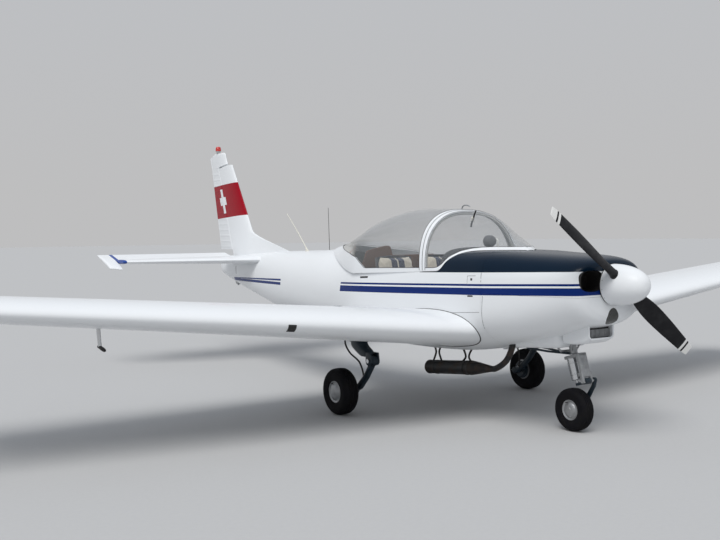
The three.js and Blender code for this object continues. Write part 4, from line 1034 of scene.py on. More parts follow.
def bevelled(piece, width, angle):
    modify(piece, "BEVEL", width=width, segments=2, limit_method="ANGLE", angle_limit=math.radians(angle))
    return baked(piece)


screen_stations = np.concatenate(
    [np.arange(1196, 1300, 6), np.arange(1300, bow_station - 45, 20),
     bow_station - np.array([38, 28, 18, 8, 0])])
screen_frame = frame_piece("windscreen_surround", screen_stations, screen_window, 2.0,
                           (bow_station - bow_band, 2100))
walled(screen_frame, 12)
bevelled(screen_frame, 0.0012, 60)
fitted(screen_frame, white_paint, stands_for=("windscreen_frame",))

acrylic, tree, shader = shader_for("acrylic", (0.10, 0.13, 0.15), 0.03, IOR=2.3)
place = object_place(tree)
edge = node(tree, "LayerWeight", {"Blend": 0.35}).outputs["Facing"]
haze = noise(tree, place, 3.0, 5, 0.6)
axes = axes_of(tree, place)
above_skirt = calc(tree, "SUBTRACT", axes["Z"], calc(tree, "ADD", times(tree, axes["Y"], 0.10), 1.452))
# The rear haze whitens the glass low down at its back. It is partly the white fade of the rear glazing and
# partly painted reflection: it is kept mostly to the right side, where it hides the shade on the inner skirt
# seen through the glass.
rear = times(tree, ramp(tree, axes["Y"], -0.66, -0.46), ramp(tree, above_skirt, 0.0, 0.13, 1.0, 0.0))
rear = times(tree, rear, ramp(tree, axes["X"], -0.10, 0.15, 1.0, 0.3))
rear = times(tree, rear, ramp(tree, haze, 0.3, 0.65, 0.7, 0.95))
clear = calc(tree, "ADD", ramp(tree, edge, 0.0, 1.0, 0.045, 0.26), ramp(tree, haze, 0.35, 0.8, 0.0, 0.03))
feed(tree, shader.inputs["Alpha"], calc(tree, "MAXIMUM", clear, rear))
# The glass's colour turns pale towards its silhouette, where edge is high: a painted highlight along the
# glass's edges. The rear haze takes the same pale colour.
tint(tree, shader, calc(tree, "MAXIMUM", ramp(tree, rear, 0.02, 0.15), ramp(tree, edge, 0.62, 0.95)),
     (0.36, 0.39, 0.41), (0.74, 0.74, 0.71))
gloss(tree, shader, noise(tree, place, 12, 4), 0.3, 0.8, 0.02, 0.07)


def glass_rows(stations, window, lift):
    rows = []
    for station in stations:
        low = window_angle(window, station, -6.0)
        rows.append(bubble_ring(station, np.linspace(low, math.pi - low, 73), lift))
    return rows


def glass_end(window, inside, outside):
    for _ in range(30):
        middle = (inside + outside) / 2
        if window_angle(window, middle, -6.0) < math.pi / 2 - 1e-6:
            inside = middle
        else:
            outside = middle
    return inside


screen_front = glass_end(screen_window, 1500, 1196)
glass_stations = np.concatenate(
    [screen_front + np.array([0, 2, 5, 9, 14, 21, 30, 41]),
     np.arange(screen_front + 55, bow_station - 50, 24), [bow_station - 35]])
screen_glass = walled(grid_piece("windscreen_panel", glass_rows(glass_stations, screen_window, -1.0)), 4)
fitted(screen_glass, acrylic, stands_for=("windscreen_glass",))

# Canopy: a blown acrylic bubble in a white moulded skirt, on rails along the sill. It slides aft as one
# piece.
rear_bow = bow_station + bow_gap
canopy_stations = np.concatenate([
    rear_bow + np.array([0, 8, 18, 28, bow_band]), np.arange(rear_bow + 66, 3050, 26),
    np.arange(3050, 4000, 18),
    np.arange(4000, 4090, 8), [4092],
])
canopy_back = glass_end(canopy_window, 3600, 4092)
canopy_frame = frame_piece("canopy_skirt", canopy_stations, canopy_window, 2.0,
                           (rear_bow, rear_bow + bow_band))
rear_rows = []
for station in np.concatenate([np.linspace(canopy_back - 6, 4000, 6), np.arange(4008, 4092, 8), [4092]]):
    low = window_angle(canopy_window, station, 0.0)
    rear_rows.append(bubble_ring(station, np.linspace(low, math.pi - low, 61), 2.0))
end = rear_rows[-1]
for share, back in ((0.8, 5), (0.5, 8), (0.2, 10)):
    rear_rows.append((end - [0, 0, 1432]) * [share, 1, share] + [0, back, 1432])
rear_closing = grid_piece("canopy_rear", rear_rows)
canopy_frame = joined("canopy_skirt", [canopy_frame, rear_closing])
tidy_mesh(canopy_frame, 2e-4)
walled(canopy_frame, 11)
fitted(canopy_frame, white_paint, body="canopy", stands_for=("canopy_frame",))
glass_stations = np.concatenate(
    [[rear_bow + bow_band - 4], np.arange(rear_bow + 60, canopy_back - 60, 26),
     canopy_back - np.array([55, 41, 30, 21, 14, 9, 5, 2, 0])])
canopy_glass = walled(grid_piece("canopy_panel", glass_rows(glass_stations, canopy_window, -1.0)), 4)
fitted(canopy_glass, acrylic, body="canopy", stands_for=("canopy_glass",))

# Rubber seals: black and grey extrusions pressed into the joints of the windscreen, the bows and the sill.
seal_rubber = clouded("seal_rubber", (0.02, 0.02, 0.021), 0.75, cloud=(22, 4),
                      shades=((0.012, 0.012, 0.013), (0.045, 0.045, 0.046)), grain=((260,), 0.0004, 0.5))


def bow_route(station, lift, margin=0.02):
    low = sill_angle(station) + margin
    return bubble_ring(station, np.linspace(low, math.pi - low, 90), lift)


def on_bubble(station, angle, side, lift):
    return bubble_ring(station, np.array([angle if side > 0 else math.pi - angle]), lift)[0]


def edge_route(window, stations, lift, side):
    points = []
    for station in stations:
        angle = window_angle(window, station)
        points.append(on_bubble(station, angle, side, lift))
    return np.array(points)


def sill_route(stations, side, drop=0.0, out=0.0):
    points = []
    for station in stations:
        angle = sill_angle(station, drop)
        points.append(on_bubble(station, angle, side, out))
    return np.array(points)


seals = [pipe("seal", bow_route(bow_station - 35, 1.4), 2.6, 8),
         pipe("seal", bow_route(bow_station + 1.5, 0.4), 3.2, 8)]
for side in (1, -1):
    route = edge_route(screen_window, np.linspace(screen_front + 1, bow_station - 35, 60), 1.6, side)
    seals.append(pipe("seal", route, 2.4, 8))
    seals.append(pipe("seal", sill_route(np.linspace(1197, bow_station - 2, 90), side, -1.0, 2.0), 3.4, 8))
fitted(joined("windscreen_seals", seals), seal_rubber)
seals = [pipe("seal", bow_route(rear_bow + bow_band + 1, 1.4), 2.6, 8)]
for side in (1, -1):
    route = edge_route(canopy_window, np.linspace(rear_bow + bow_band, canopy_back, 90), 1.6, side)
    seals.append(pipe("seal", route, 2.4, 8))
fitted(joined("canopy_seals", seals), seal_rubber, body="canopy")

# Canopy inner frame: welded tubes behind the rear bow and along the sill that stiffen the bubble, and one
# more tube behind the windscreen.
cabin_pale = clouded("cabin_pale", (0.80, 0.80, 0.78), 0.6, cloud=(12, 4),
                     shades=((0.46, 0.46, 0.44), (0.62, 0.62, 0.60)), grain=((300,), 0.0003, 0.4))
bow_tubes = [pipe("tube", bow_route(rear_bow + 20, -24, 0.06), 11, 14)]
for side in (1, -1):
    bow_tubes.append(pipe("tube", sill_route(np.linspace(bow_station + 25, 3150, 50), side, 26, -24), 10, 12))
fitted(joined("canopy_inner_tubes", bow_tubes), cabin_pale, body="canopy")
screen_tube = pipe("windscreen_inner_tube", bow_route(bow_station - 22, -24, 0.06), 11, 14)
fitted(screen_tube, cabin_pale)

# Cabin floor, coaming and instrument panel: a carpeted floor, a black vinyl glare shield bonded to the deck,
# and a dark grey panel with round instruments in rubber-mounted rows.
carpet = clouded("cabin_carpet", (0.05, 0.052, 0.06), 0.95, cloud=(400, 2),
                 shades=((0.03, 0.032, 0.04), (0.08, 0.082, 0.09)), grain=((500, 2), 0.002, 0.8),
                 Sheen_Weight=0.3)
dressed(carpet, "cabin_floor")
vinyl_black, tree, shader = shader_for("vinyl_black", (0.035, 0.036, 0.038), 0.7)
place = object_place(tree)
grain = node(tree, "TexVoronoi", {"Vector": place, "Scale": 420.0}).outputs["Distance"]
tint(tree, shader, noise(tree, place, 9, 4), (0.026, 0.027, 0.029), (0.055, 0.056, 0.058))
bump(tree, shader, grain, 0.0006, 0.6)
panel_station, panel_thick = 1745, 22
coaming_table = [  # station, top, half width, roundness
    (1300, 1446, 165, 2.4), (1400, 1452, 300, 3.2), (1500, 1458, 430, 4.0), (1600, 1462, 500, 4.0),
    (1745, 1464, 518, 4.4),
]


def coaming_ring(station, angles, inset=0.0):
    _, top, half, power = table_row(coaming_table, min(station, panel_station))
    high = top - canopy_base - inset
    x, z = oval(angles, half - inset, high, high, power, power)
    return np.stack([x, np.full_like(x, station), canopy_base + z], -1)


shield_rows = [coaming_ring(station, np.linspace(0, math.pi, 73)) for station in np.arange(1302, 1760, 18)]
roll = coaming_ring(1760, np.linspace(0, math.pi, 73))
for drop, back in ((2, 6), (8, 12), (16, 14), (24, 10), (28, 2)):
    shrink = [1 - drop / 520, 1, 1 - drop / 264]
    shield_rows.append((roll - [0, 0, canopy_base]) * shrink + [0, back, canopy_base])
coaming = walled(grid_piece("glare_shield", shield_rows), 8)
low_turn = next(turn for turn in np.linspace(0.1, 1.5, 300)
                if coaming_ring(panel_station, np.array([turn]), 9)[0, 2] > 1392)
filler_rows = [coaming_ring(1738, np.linspace(low_turn, math.pi - low_turn, 60), 9) + [0, back, 0]
               for back in (0, 10)]
filler = solid("panel_top", filler_rows)
fitted(joined("glare_shield", [coaming, filler]), vinyl_black, stands_for=("coaming",))

panel_grey = clouded("panel_grey", (0.09, 0.095, 0.10), 0.6, cloud=(16, 4),
                     shades=((0.07, 0.074, 0.08), (0.12, 0.125, 0.13)), grain=((700, 2), 0.0003, 0.5))
dressed(panel_grey, "instrument_panel")

dial_black = clouded("dial_black", (0.01, 0.01, 0.011), 0.35, shine=((120,), 0, 1, 0.25, 0.5))
dial_white = clouded("dial_white", (0.75, 0.75, 0.72), 0.5, cloud=(200,),
                     shades=((0.70, 0.70, 0.66), (0.80, 0.80, 0.78)))
dials = [(x, z, 40) for x in (-330, -236, -142) for z in (1330, 1236)]
dials += [(x, z, 40) for x in (142, 236, 330) for z in (1330, 1236)]
dials += [(x, z, 27) for x in (-40, 40) for z in (1350, 1284, 1218)]
bodies, faces_white = [], []
for x, z, radius in dials:
    centre = (x, panel_station + panel_thick, z)
    profile = [(radius + 3, 0), (radius + 3, 3.0), (radius + 1, 4.6), (radius - 2, 4.6),
               (radius - 4, 2.2), (0.3, 2.2)]
    bodies.append(turned("dial", profile, 40, centre))
    for turn in circle(12):
        near, far = radius * 0.66, radius * 0.82
        side = np.array([math.sin(turn), 0, math.cos(turn)])
        across = np.array([math.cos(turn), 0, -math.sin(turn)])
        base = np.array(centre) + [0, 2.6, 0]
        corners = [base + side * near - across * 0.7, base + side * far - across * 0.7,
                   base + side * far + across * 0.7, base + side * near + across * 0.7]
        faces_white.append(corners)
    needle = math.radians((x * 7 + z * 3) % 300)
    side = np.array([math.sin(needle), 0, math.cos(needle)])
    across = np.array([math.cos(needle), 0, -math.sin(needle)])
    base = np.array(centre) + [0, 3.0, 0]
    faces_white.append([base - side * 6 - across * 1.6, base + side * radius * 0.7 - across * 0.4,
                        base + side * radius * 0.7 + across * 0.4, base - side * 6 + across * 1.6])
fitted(joined("instrument_bodies", bodies), dial_black)
points = [corner for corners in faces_white for corner in corners]
marks = new_piece("instrument_marks", placed(points),
                  [(4 * i, 4 * i + 3, 4 * i + 2, 4 * i + 1) for i in range(len(faces_white))])
fitted(walled(marks, 0.3), dial_white)

# Magnetic compass: a small domed instrument on a bracket in the middle of the glare shield.
seat_shell_grey = clouded("seat_shell_grey", (0.10, 0.10, 0.105), 0.6, cloud=(20, 4),
                          shades=((0.07, 0.07, 0.075), (0.13, 0.13, 0.135)))
compass_profile = [(0.5, -52), (26, -50), (43, -40), (52, -20), (53, 14), (49, 30), (44, 34), (0.5, 34)]
compass = [turned("compass", compass_profile, 48, (0, 1712, 1513))]
compass.append(pipe("compass_stem", [(0, 1712, 1452), (0, 1712, 1470)], 20, 20))
tag = pipe("map_light",
           smooth_route([(52, 1660, 1450), (54, 1662, 1490), (58, 1672, 1520), (60, 1690, 1526)], 14),
           [9] * 12 + [13, 11], 16)
fitted(joined("compass", compass), seat_shell_grey)
fitted(tag, dial_white)

# Seats: two upholstered bucket seats on rails. A laminated shell carries a padded cushion and back in
# beige cloth, with dark blue lengthwise stripes woven in. The padding is simulated as inflated cloth.
seat_cloth, tree, shader = shader_for("seat_cloth", (0.60, 0.55, 0.45), 0.9, Sheen_Weight=0.35,
                                      Sheen_Roughness=0.5)
place = object_place(tree)
axes = axes_of(tree, place)
weave_x = calc(tree, "SINE", times(tree, axes["X"], 4200.0))
along = calc(tree, "ADD", axes["Y"], axes["Z"])
weave_y = calc(tree, "SINE", times(tree, along, 4200.0))
weave = times(tree, weave_x, weave_y)
from_middle = calc(tree, "SUBTRACT", calc(tree, "ABSOLUTE", axes["X"]), 0.270)
band_in = within(tree, calc(tree, "ABSOLUTE", from_middle), 0.007, 0.076)
beige = blended(tree, noise(tree, place, 60, 4), (0.52, 0.47, 0.38, 1), (0.70, 0.65, 0.55, 1))
striped = blended(tree, band_in, beige, (0.012, 0.020, 0.055, 1))
feed(tree, shader.inputs["Base Color"], striped)
bump(tree, shader, weave, 0.0005, 0.6)
seat_x, seat_half = 268, 244


def padded_block(name, ring_of, along_stations, pressure, cap, material):
    """A pad from rings across it, closed at both ends, swollen by a short cloth simulation."""
    rows = [ring_of(station) for station in along_stations]
    pad = solid(name, rows)
    modify(pad, "REMESH", mode="VOXEL", voxel_size=0.0055)
    baked(pad)
    before = np.empty(len(pad.data.vertices) * 3)
    pad.data.vertices.foreach_get("co", before)
    cloth = pad.modifiers.new("swell", "CLOTH")
    cloth.settings.use_pressure = True
    cloth.settings.uniform_pressure_force = pressure
    cloth.settings.effector_weights.gravity = 0
    cloth.point_cache.frame_start, cloth.point_cache.frame_end = 1, 20
    for number in range(1, 21):
        bpy.context.scene.frame_set(number)
    baked(pad)
    bpy.context.scene.frame_set(1)
    after = np.empty_like(before)
    pad.data.vertices.foreach_get("co", after)
    before, after = before.reshape(-1, 3), after.reshape(-1, 3)
    move = after - before
    size = np.linalg.norm(move, axis=1)[:, None]
    after = before + move * np.minimum(1, cap / np.maximum(size, 1e-9))
    pad.data.vertices.foreach_set("co", after.ravel())
    pad.data.update()
    modify(pad, "SUBSURF", levels=1, render_levels=1)
    baked(pad)
    pad.data.materials.clear()
    pad.data.materials.append(material)
    pad.data.shade_smooth()
    return pad


def pad_ring(middle, up, half_width, half_thick, count=40):
    """A rounded oblong ring about a middle point, across the aircraft and along the direction up."""
    turns = circle(count)
    x, out = oval(turns, half_width, half_thick, half_thick, 5, 5)
    return np.array(middle) + np.outer(x, [1.0, 0, 0]) + np.outer(out, up)


def cushion_ring(t):
    station, z = 2194 + 424 * t, 884 + 8 * math.sin(t * math.pi) - 36 * t
    ends = min(1, (0.12 + t * 9), (0.12 + (1 - t) * 9))
    return pad_ring((0, station, z), (0, 0.05, 1.0), (seat_half - 22) * (0.93 + 0.07 * ends), 36 * ends)


def back_ring(t):
    station, z = 2676 + 97 * t, 925 + 448 * t
    ends = min(1, (0.14 + t * 8), (0.14 + (1 - t) * 8))
    width = (seat_half - 20) * (1 - 0.16 * t * t)
    return pad_ring((0, station, z), (0, -0.97, 0.23), width * (0.93 + 0.07 * ends), 30 * ends)


pads = []
for name, ring_of in (("cushion", cushion_ring), ("back", back_ring)):
    pad = padded_block("seat_" + name, ring_of, np.linspace(0, 1, 17), 4.0, 0.016, seat_cloth)
    pads.append(pad)


def sheet_rows(path, half_of, curl, steps=60, across=27):
    route = smooth_route([(0, *point) for point in path], steps)
    rows = []
    for k, point in enumerate(route):
        share = k / (steps - 1)
        half = half_of(share)
        x = np.linspace(-half, half, across)
        lean = curl * (np.abs(x) / half) ** 4
        tangent = route[min(k + 1, steps - 1)] - route[max(k - 1, 0)]
        tangent /= np.linalg.norm(tangent)
        normal = np.array([0, -tangent[2], tangent[1]])
        rows.append(point + np.outer(x, [1.0, 0, 0]) + np.outer(lean, normal))
    return rows


shell_path = [(2176, 868), (2190, 840), (2260, 826), (2420, 812), (2590, 800), (2668, 818), (2712, 880),
              (2760, 1120), (2812, 1350), (2806, 1374), (2786, 1380)]
seat_shell = grid_piece(
    "seat_shell", sheet_rows(shell_path, lambda s: seat_half - 12 - 66 * max(s - 0.55, 0) ** 1.2, 16))
walled(seat_shell, 7)
base_rows = [pad_ring((0, 2430, z), (0, 1, 0), 168 - grow, 190 - grow, 48) for z, grow in
             ((664.5, 0), (668, 4), (674, 6), (800, 12), (806, 14))]
seat_base = solid("seat_base", base_rows)
seat_frame = joined("seat_frame", [seat_shell, seat_base])
tidy_mesh(seat_frame)


def copied(piece, name, shift):
    made = piece.copy()
    made.data = piece.data.copy()
    made.name = name
    made.data.transform(Matrix.Translation((shift / 1000, 0, 0)))
    bpy.context.scene.collection.objects.link(made)
    return made


for side, name in ((1, "left"), (-1, "right")):
    frame_copy = copied(seat_frame, "seat_" + name + "_shell", side * seat_x)
    fitted(frame_copy, seat_shell_grey, stands_for=("seat_" + name,))
    for pad in pads:
        part = copied(pad, pad.name.replace("seat_", "seat_" + name + "_"), side * seat_x)
        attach(part, "airframe")
for spare in [seat_frame, *pads]:
    bpy.data.objects.remove(spare)

# Rear cabin panel: a padded board in brown leathercloth behind the seats, with a stitched border.
leathercloth, tree, shader = shader_for("brown_leathercloth", (0.16, 0.075, 0.04), 0.6, Coat_Weight=0.1)
place = object_place(tree)
grain = node(tree, "TexVoronoi", {"Vector": place, "Scale": 260.0}).outputs["Distance"]
tint(tree, shader, noise(tree, place, 7, 5, 0.6), (0.12, 0.055, 0.03), (0.22, 0.11, 0.06))
gloss(tree, shader, noise(tree, place, 30, 3), 0.2, 0.8, 0.5, 0.7)
bump(tree, shader, grain, 0.0008, 0.6)
rows = []
for t in np.linspace(0, 1, 40):
    z = 665 + 712 * t
    station = np.interp(z, [664, 1190, 1382], [2962, 3078, 3030])
    half = min(hull_side(station, min(z, 1200)) - 26, 470) - 60 * max((z - 1180) / 200, 0) ** 1.4
    x = np.linspace(-half, half, 91)
    swell = 8 * (1 - np.abs(x / half) ** 6) * (1 - abs(2 * t - 1) ** 6)
    arch = np.interp(x, [-480, -440, -400, -300, -187, -150, -132, -120, -104],
                     [0, 24, 48, 74, 94, 92, 84, 64, 0]) * t**3
    rows.append(np.stack([x, station - swell, z + arch], -1))
rear_board = walled(grid_piece("rear_board", rows), 12)
fitted(rear_board, leathercloth, stands_for=("rear_panel",))

# Control sticks: two steel tubes on one torque tube under the seats, each with a moulded black grip.
floor_top = 664
grip_black, tree, shader = shader_for("grip_black", (0.022, 0.022, 0.023), 0.55)
place = object_place(tree)
tint(tree, shader, noise(tree, place, 60), (0.016, 0.016, 0.017), (0.035, 0.035, 0.036))
bump(tree, shader, node(tree, "TexVoronoi", {"Vector": place, "Scale": 700.0}).outputs["Distance"],
     0.0005, 0.5)
parts = [pipe("torque_tube", [(-320, 2105, floor_top + 15.6), (320, 2105, floor_top + 15.6)], 15, 24)]
for side in (1, -1):
    x = side * seat_x
    stick = smooth_route([(x, 2105, floor_top + 16), (x, 2100, 800), (x, 2090, 955)], 14)
    parts.append(pipe("stick", stick, 10, 18))
    grip = [(x, 2091, 944), (x, 2090, 950), (x, 2087, 975), (x, 2085, 1000), (x, 2083, 1030),
            (x, 2081, 1056), (x, 2080, 1064)]
    parts.append(pipe("grip", grip, [15, 19, 18, 20, 18, 19, 12], 24))
fitted(joined("control_columns", parts), grip_black, stands_for=("control_sticks",))

# Wings: two glass-fibre shells on one spar, set through the fuselage under the seats. Each carries a jack
# pad, the bays of its flap and aileron, and the pins that they hinge on.
wing_root = {"x": 400, "nose": 1279, "z": 774, "chord": 1905, "incidence": 3, "thick": 0.165}
wing_tip = {"x": 4790, "nose": 1850, "z": 1158, "chord": 1170, "incidence": 1, "thick": 0.14}
wing_hinge, wing_camber, wing_run = 0.775, 0.014, 7
flap_span, flap_swing, aileron_span = (700, 2560), 11, (2590, 4560)
trailing = 2.5


def foil_half(u, thick):
    curve = 0.2969 * np.sqrt(u) - 0.126 * u - 0.3516 * u**2 + 0.2843 * u**3 - 0.1036 * u**4
    return 5 * thick * curve


def foil_outline(chord, thick, camber=0.0, count=38):
    u = 0.5 - 0.5 * np.cos(np.linspace(0, math.pi, count))
    half = np.maximum(foil_half(u, thick) * chord, trailing * np.minimum(1, u * 4))
    mean = camber * chord * 4 * u * (1 - u)
    upper = np.stack([u * chord, mean + half], -1)[::-1]
    lower = np.stack([u * chord, mean - half], -1)[1:]
    return np.concatenate([upper, lower])


def wing_section(x):
    share = (x - wing_root["x"]) / (wing_tip["x"] - wing_root["x"])
    return {key: wing_root[key] + (wing_tip[key] - wing_root[key]) * share for key in wing_root}


def on_wing(x, outline):
    section = wing_section(x)
    turn = math.radians(section["incidence"])
    along, out = outline[:, 0], outline[:, 1]
    return np.stack([np.full_like(along, x), section["nose"] + along * math.cos(turn) + out * math.sin(turn),
                     section["z"] - along * math.sin(turn) + out * math.cos(turn)], -1)


def mean_line(section, u):
    return wing_camber * section["chord"] * 4 * u * (1 - u)


def wing_ring(x, chord_share=1.0, thick_share=1.0):
    section = wing_section(x)
    outline = foil_outline(section["chord"], section["thick"], wing_camber)
    anchor = 0.35 * section["chord"]
    outline = np.stack([anchor + (outline[:, 0] - anchor) * chord_share, outline[:, 1] * thick_share], -1)
    return on_wing(x, outline)


def wing_join():
    inner, outer = wing_ring(wing_root["x"]), wing_ring(1200)
    share = np.full(len(inner), 0.2)
    for _ in range(6):
        points = inner + (outer - inner) * share[:, None]
        wanted = np.array([hull_side(station, z) - 5 for _, station, z in points])
        share = (wanted - inner[:, 0]) / (outer[:, 0] - inner[:, 0])
    return inner + (outer - inner) * share[:, None]


join_ring = wing_join()
last_section, rounded_tip = wing_tip["x"], 85
section_places = np.concatenate([[606, 650, 693], np.arange(760, last_section, 90), [last_section]])
rows = [join_ring] + [wing_ring(x) for x in section_places]
for turn in np.linspace(0.12, 1, 9):
    rounded = math.cos(turn * math.pi / 2 * 0.94)
    x = last_section + rounded_tip * math.sin(turn * math.pi / 2)
    rows.append(wing_ring(x, 1 - 0.14 * (1 - rounded), max(rounded, 0.16)))
port_wing = solid("wing_left_skin", rows)


def hinge_place(x):
    section = wing_section(x)
    mean = mean_line(section, wing_hinge)
    return on_wing(x, np.array([[wing_hinge * section["chord"], mean]]))[0]


def bay_cutters(inner, outer):
    coves, boxes = [], []
    for x in (inner - wing_run, outer + wing_run):
        section = wing_section(x)
        radius = foil_half(wing_hinge, section["thick"]) * section["chord"] + wing_run
        mean = mean_line(section, wing_hinge)
        near, far = wing_hinge * section["chord"], 1.06 * section["chord"]
        lip = near - 14
        turns = circle(48)
        coves.append(on_wing(x, np.stack([near + radius * np.cos(turns), mean + radius * np.sin(turns)], -1)))
        boxes.append(on_wing(x, np.array([[far, 220], [lip, 220], [lip, -220], [far, -220]], float)))
    return [solid("cutter", shape) for shape in (coves, boxes)]


def mirror_copy(piece, name):
    made = copied(piece, name, 0)
    made.data.transform(Matrix.Diagonal((-1, 1, 1, 1)))
    made.data.flip_normals()
    return made


def both_sides(port, kind, material, bodies):
    starboard = mirror_copy(port, kind + "_right_skin")
    for skin, side, body in zip((port, starboard), ("_left", "_right"), bodies):
        fitted(skin, material, body=body, stands_for=(kind + side,), angle=30)


cut(port_wing, *bay_cutters(*flap_span), *bay_cutters(*aileron_span))
pins = [port_wing]
for inner, outer in (flap_span, aileron_span):
    pins.append(pipe("pin", [hinge_place(inner - wing_run - 12), hinge_place(inner + 22)], 8, 16))
    pins.append(pipe("pin", [hinge_place(outer - 22), hinge_place(outer + wing_run + 12)], 8, 16))
jack_rows = [pad_ring((1225, 2095, z), (0, 1, 0), half, half, 24)
             for z, half in ((688.5, 26), (692, 33), (700, 35), (760, 35))]
pins.append(solid("jack_pad", jack_rows))
port_wing = joined("wing_left_skin", pins)
both_sides(port_wing, "wing", white_paint, ("airframe", "airframe"))

# Wing root seals: a black rubber strip is pressed into the joint between each wing and the fuselage.
root_seal = pipe("wing_root_seal_left", join_ring[:-1] + [4, 0, 0], 5, 10)
root_seal_right = mirror_copy(root_seal, "wing_root_seal_right")
for seal in (root_seal, root_seal_right):
    fitted(seal, seal_rubber)

# Flaps and ailerons: hollow glass-fibre surfaces with a round nose that turns in the wing's bay.
def flap_ring(x):
    section = wing_section(x)
    chord, thick = section["chord"], section["thick"]
    radius = foil_half(wing_hinge, thick) * chord
    u = np.linspace(1, wing_hinge, 16)
    half = np.maximum(foil_half(u, thick) * chord, trailing)
    mean = mean_line(section, u)
    turns = np.linspace(math.pi / 2, 1.5 * math.pi, 20)[1:-1]
    nose = np.stack([wing_hinge * chord + radius * np.cos(turns), mean[-1] + radius * np.sin(turns)], -1)
    upper = np.stack([u * chord, mean + half], -1)
    lower = np.stack([u * chord, mean - half], -1)[::-1]
    return on_wing(x, np.concatenate([upper, nose, lower]))


for kind, inner, outer in (("flap", flap_span[0], flap_span[1] - flap_swing), ("aileron", *aileron_span)):
    rows = [flap_ring(x) for x in np.linspace(inner, outer, 18)]
    port = solid(kind + "_left_skin", rows)
    both_sides(port, kind, white_paint, (kind + "_left", kind + "_right"))

# Fin: the fuselage's moulded fin with a long dorsal fillet, painted white with a red band and a plain
# white cross. The rudder carries the band and the cross on.
fin = {"low": 1300, "top": 2541, "nose_low": 6037, "nose_top": 6818, "half_low": 52, "half_top": 29}
rudder_hinge = ((6785, 1405), (7204, 2505))
rudder_aft = (7192, 7500)
rudder_top = 2713
fin_red, tree, shader, total, dust = paint("fin_paint", white)
axes = axes_of(tree, object_place(tree))
station = calc(tree, "ADD", axes["Y"], length / 2000)
height = axes["Z"]
band_low = sloped(tree, station, -0.0455, 2.149)
band_high = sloped(tree, station, -0.0464, 2.6035)
red = within(tree, height, band_low, band_high)
lean = calc(tree, "SUBTRACT", station,
            calc(tree, "MULTIPLY_ADD", calc(tree, "SUBTRACT", height, 2.053), 0.381, 7.063))
rise = calc(tree, "SUBTRACT", height,
            calc(tree, "MULTIPLY_ADD", calc(tree, "SUBTRACT", station, 7.063), -0.046, 2.053))
lean, rise = calc(tree, "ABSOLUTE", lean), calc(tree, "ABSOLUTE", rise)
bars = calc(tree, "MAXIMUM",
            times(tree, calc(tree, "LESS_THAN", lean, 0.036), calc(tree, "LESS_THAN", rise, 0.166)),
            times(tree, calc(tree, "LESS_THAN", lean, 0.108), calc(tree, "LESS_THAN", rise, 0.054)))
tail_colour = blended(tree, red, (*white, 1), (0.32, 0.001, 0.012, 1))
tail_colour = blended(tree, bars, tail_colour, (*white, 1))
finish_paint(tree, shader, tail_colour, total, dust)


def fin_mix(z, low, top):
    return low + (z - fin["low"]) / (fin["top"] - fin["low"]) * (top - low)


def hinge_at(z):
    (low_station, low_z), (top_station, top_z) = rudder_hinge
    return low_station + (z - low_z) / (top_z - low_z) * (top_station - low_station)


def aft_at(z):
    share = (z - rudder_hinge[0][1]) / (rudder_top - rudder_hinge[0][1])
    return rudder_aft[0] + share * (rudder_aft[1] - rudder_aft[0])


def fin_half_at(station, z):
    nose = fin_mix(z, fin["nose_low"], fin["nose_top"])
    chord = aft_at(z) - nose
    thick = fin_mix(z, fin["half_low"], fin["half_top"]) / chord / 0.5
    u = np.clip((station - nose) / chord, 0, 1)
    return foil_half(u, thick) * chord


def rudder_half_at(z):
    return float(fin_half_at(np.array([hinge_at(z)]), z)[0])


def dorsal_nose(z):
    ridge = [(1372, 5235), (1391, 5294), (1450, 5548), (1510, 5808), (1560, 6018), (1595, 6140),
             (1630, 6232), (1680, 6277), (1740, 6314)]
    if z >= 1740:
        return fin_mix(z, fin["nose_low"], fin["nose_top"])
    return table_row(ridge, z)[1]


def dorsal_half(station, z):
    top_edge = np.interp(station, [5300, 5900, 6300, 6560], [3, 6, 22, 26])
    base = np.interp(station, [5300, 5900, 6300, 6560], [16, 46, 58, 44])
    ridge_z = np.interp(station, [5294, 5808, 6140, 6232], [1391, 1510, 1595, 1640])
    share = np.clip((z - 1330) / np.maximum(ridge_z - 1330, 20), 0, 1)
    return (base + (top_edge - base) * share**0.8) * np.clip(1 - (z - 1560) / 200, 0, 1)


rows = []
fin_levels = np.concatenate([np.arange(1322, 1700, 12), np.arange(1700, 2520, 34), [2534]])
for z in fin_levels:
    half = rudder_half_at(z)
    cove = half + 8
    lip = hinge_at(z) - math.sqrt(cove**2 - half**2) * 0.98
    nose = dorsal_nose(z)
    u = (1 - np.cos(np.linspace(0, math.pi / 2, 44))) ** 1.15
    station = nose + (lip - nose) * u
    z_row = np.full_like(station, z)
    if z > 2500:
        z_row = np.minimum(z, np.interp(station, [6700, 6900, 7300], [2540, 2535, 2483]))
    depth = station - nose
    edge_round = np.sqrt(np.clip(1 - (1 - np.clip(depth / 26, 0, 1)) ** 2, 0, 1))
    out = np.maximum(fin_half_at(station, z), dorsal_half(station, z)) * edge_round
    port_side = np.stack([out, station, z_row], -1)
    first = math.asin((hinge_at(z) - lip) / cove)
    turns = np.linspace(first, math.pi - first, 13)[1:-1]
    arc = np.stack([cove * np.cos(turns), hinge_at(z) - cove * np.sin(turns), np.full(11, z_row[-1])], -1)
    rows.append(np.concatenate([port_side[::-1], port_side[1:] * [-1, 1, 1], arc[::-1]]))
fin_skin = solid("fin_skin", rows)
fitted(fin_skin, fin_red, stands_for=("fin",))

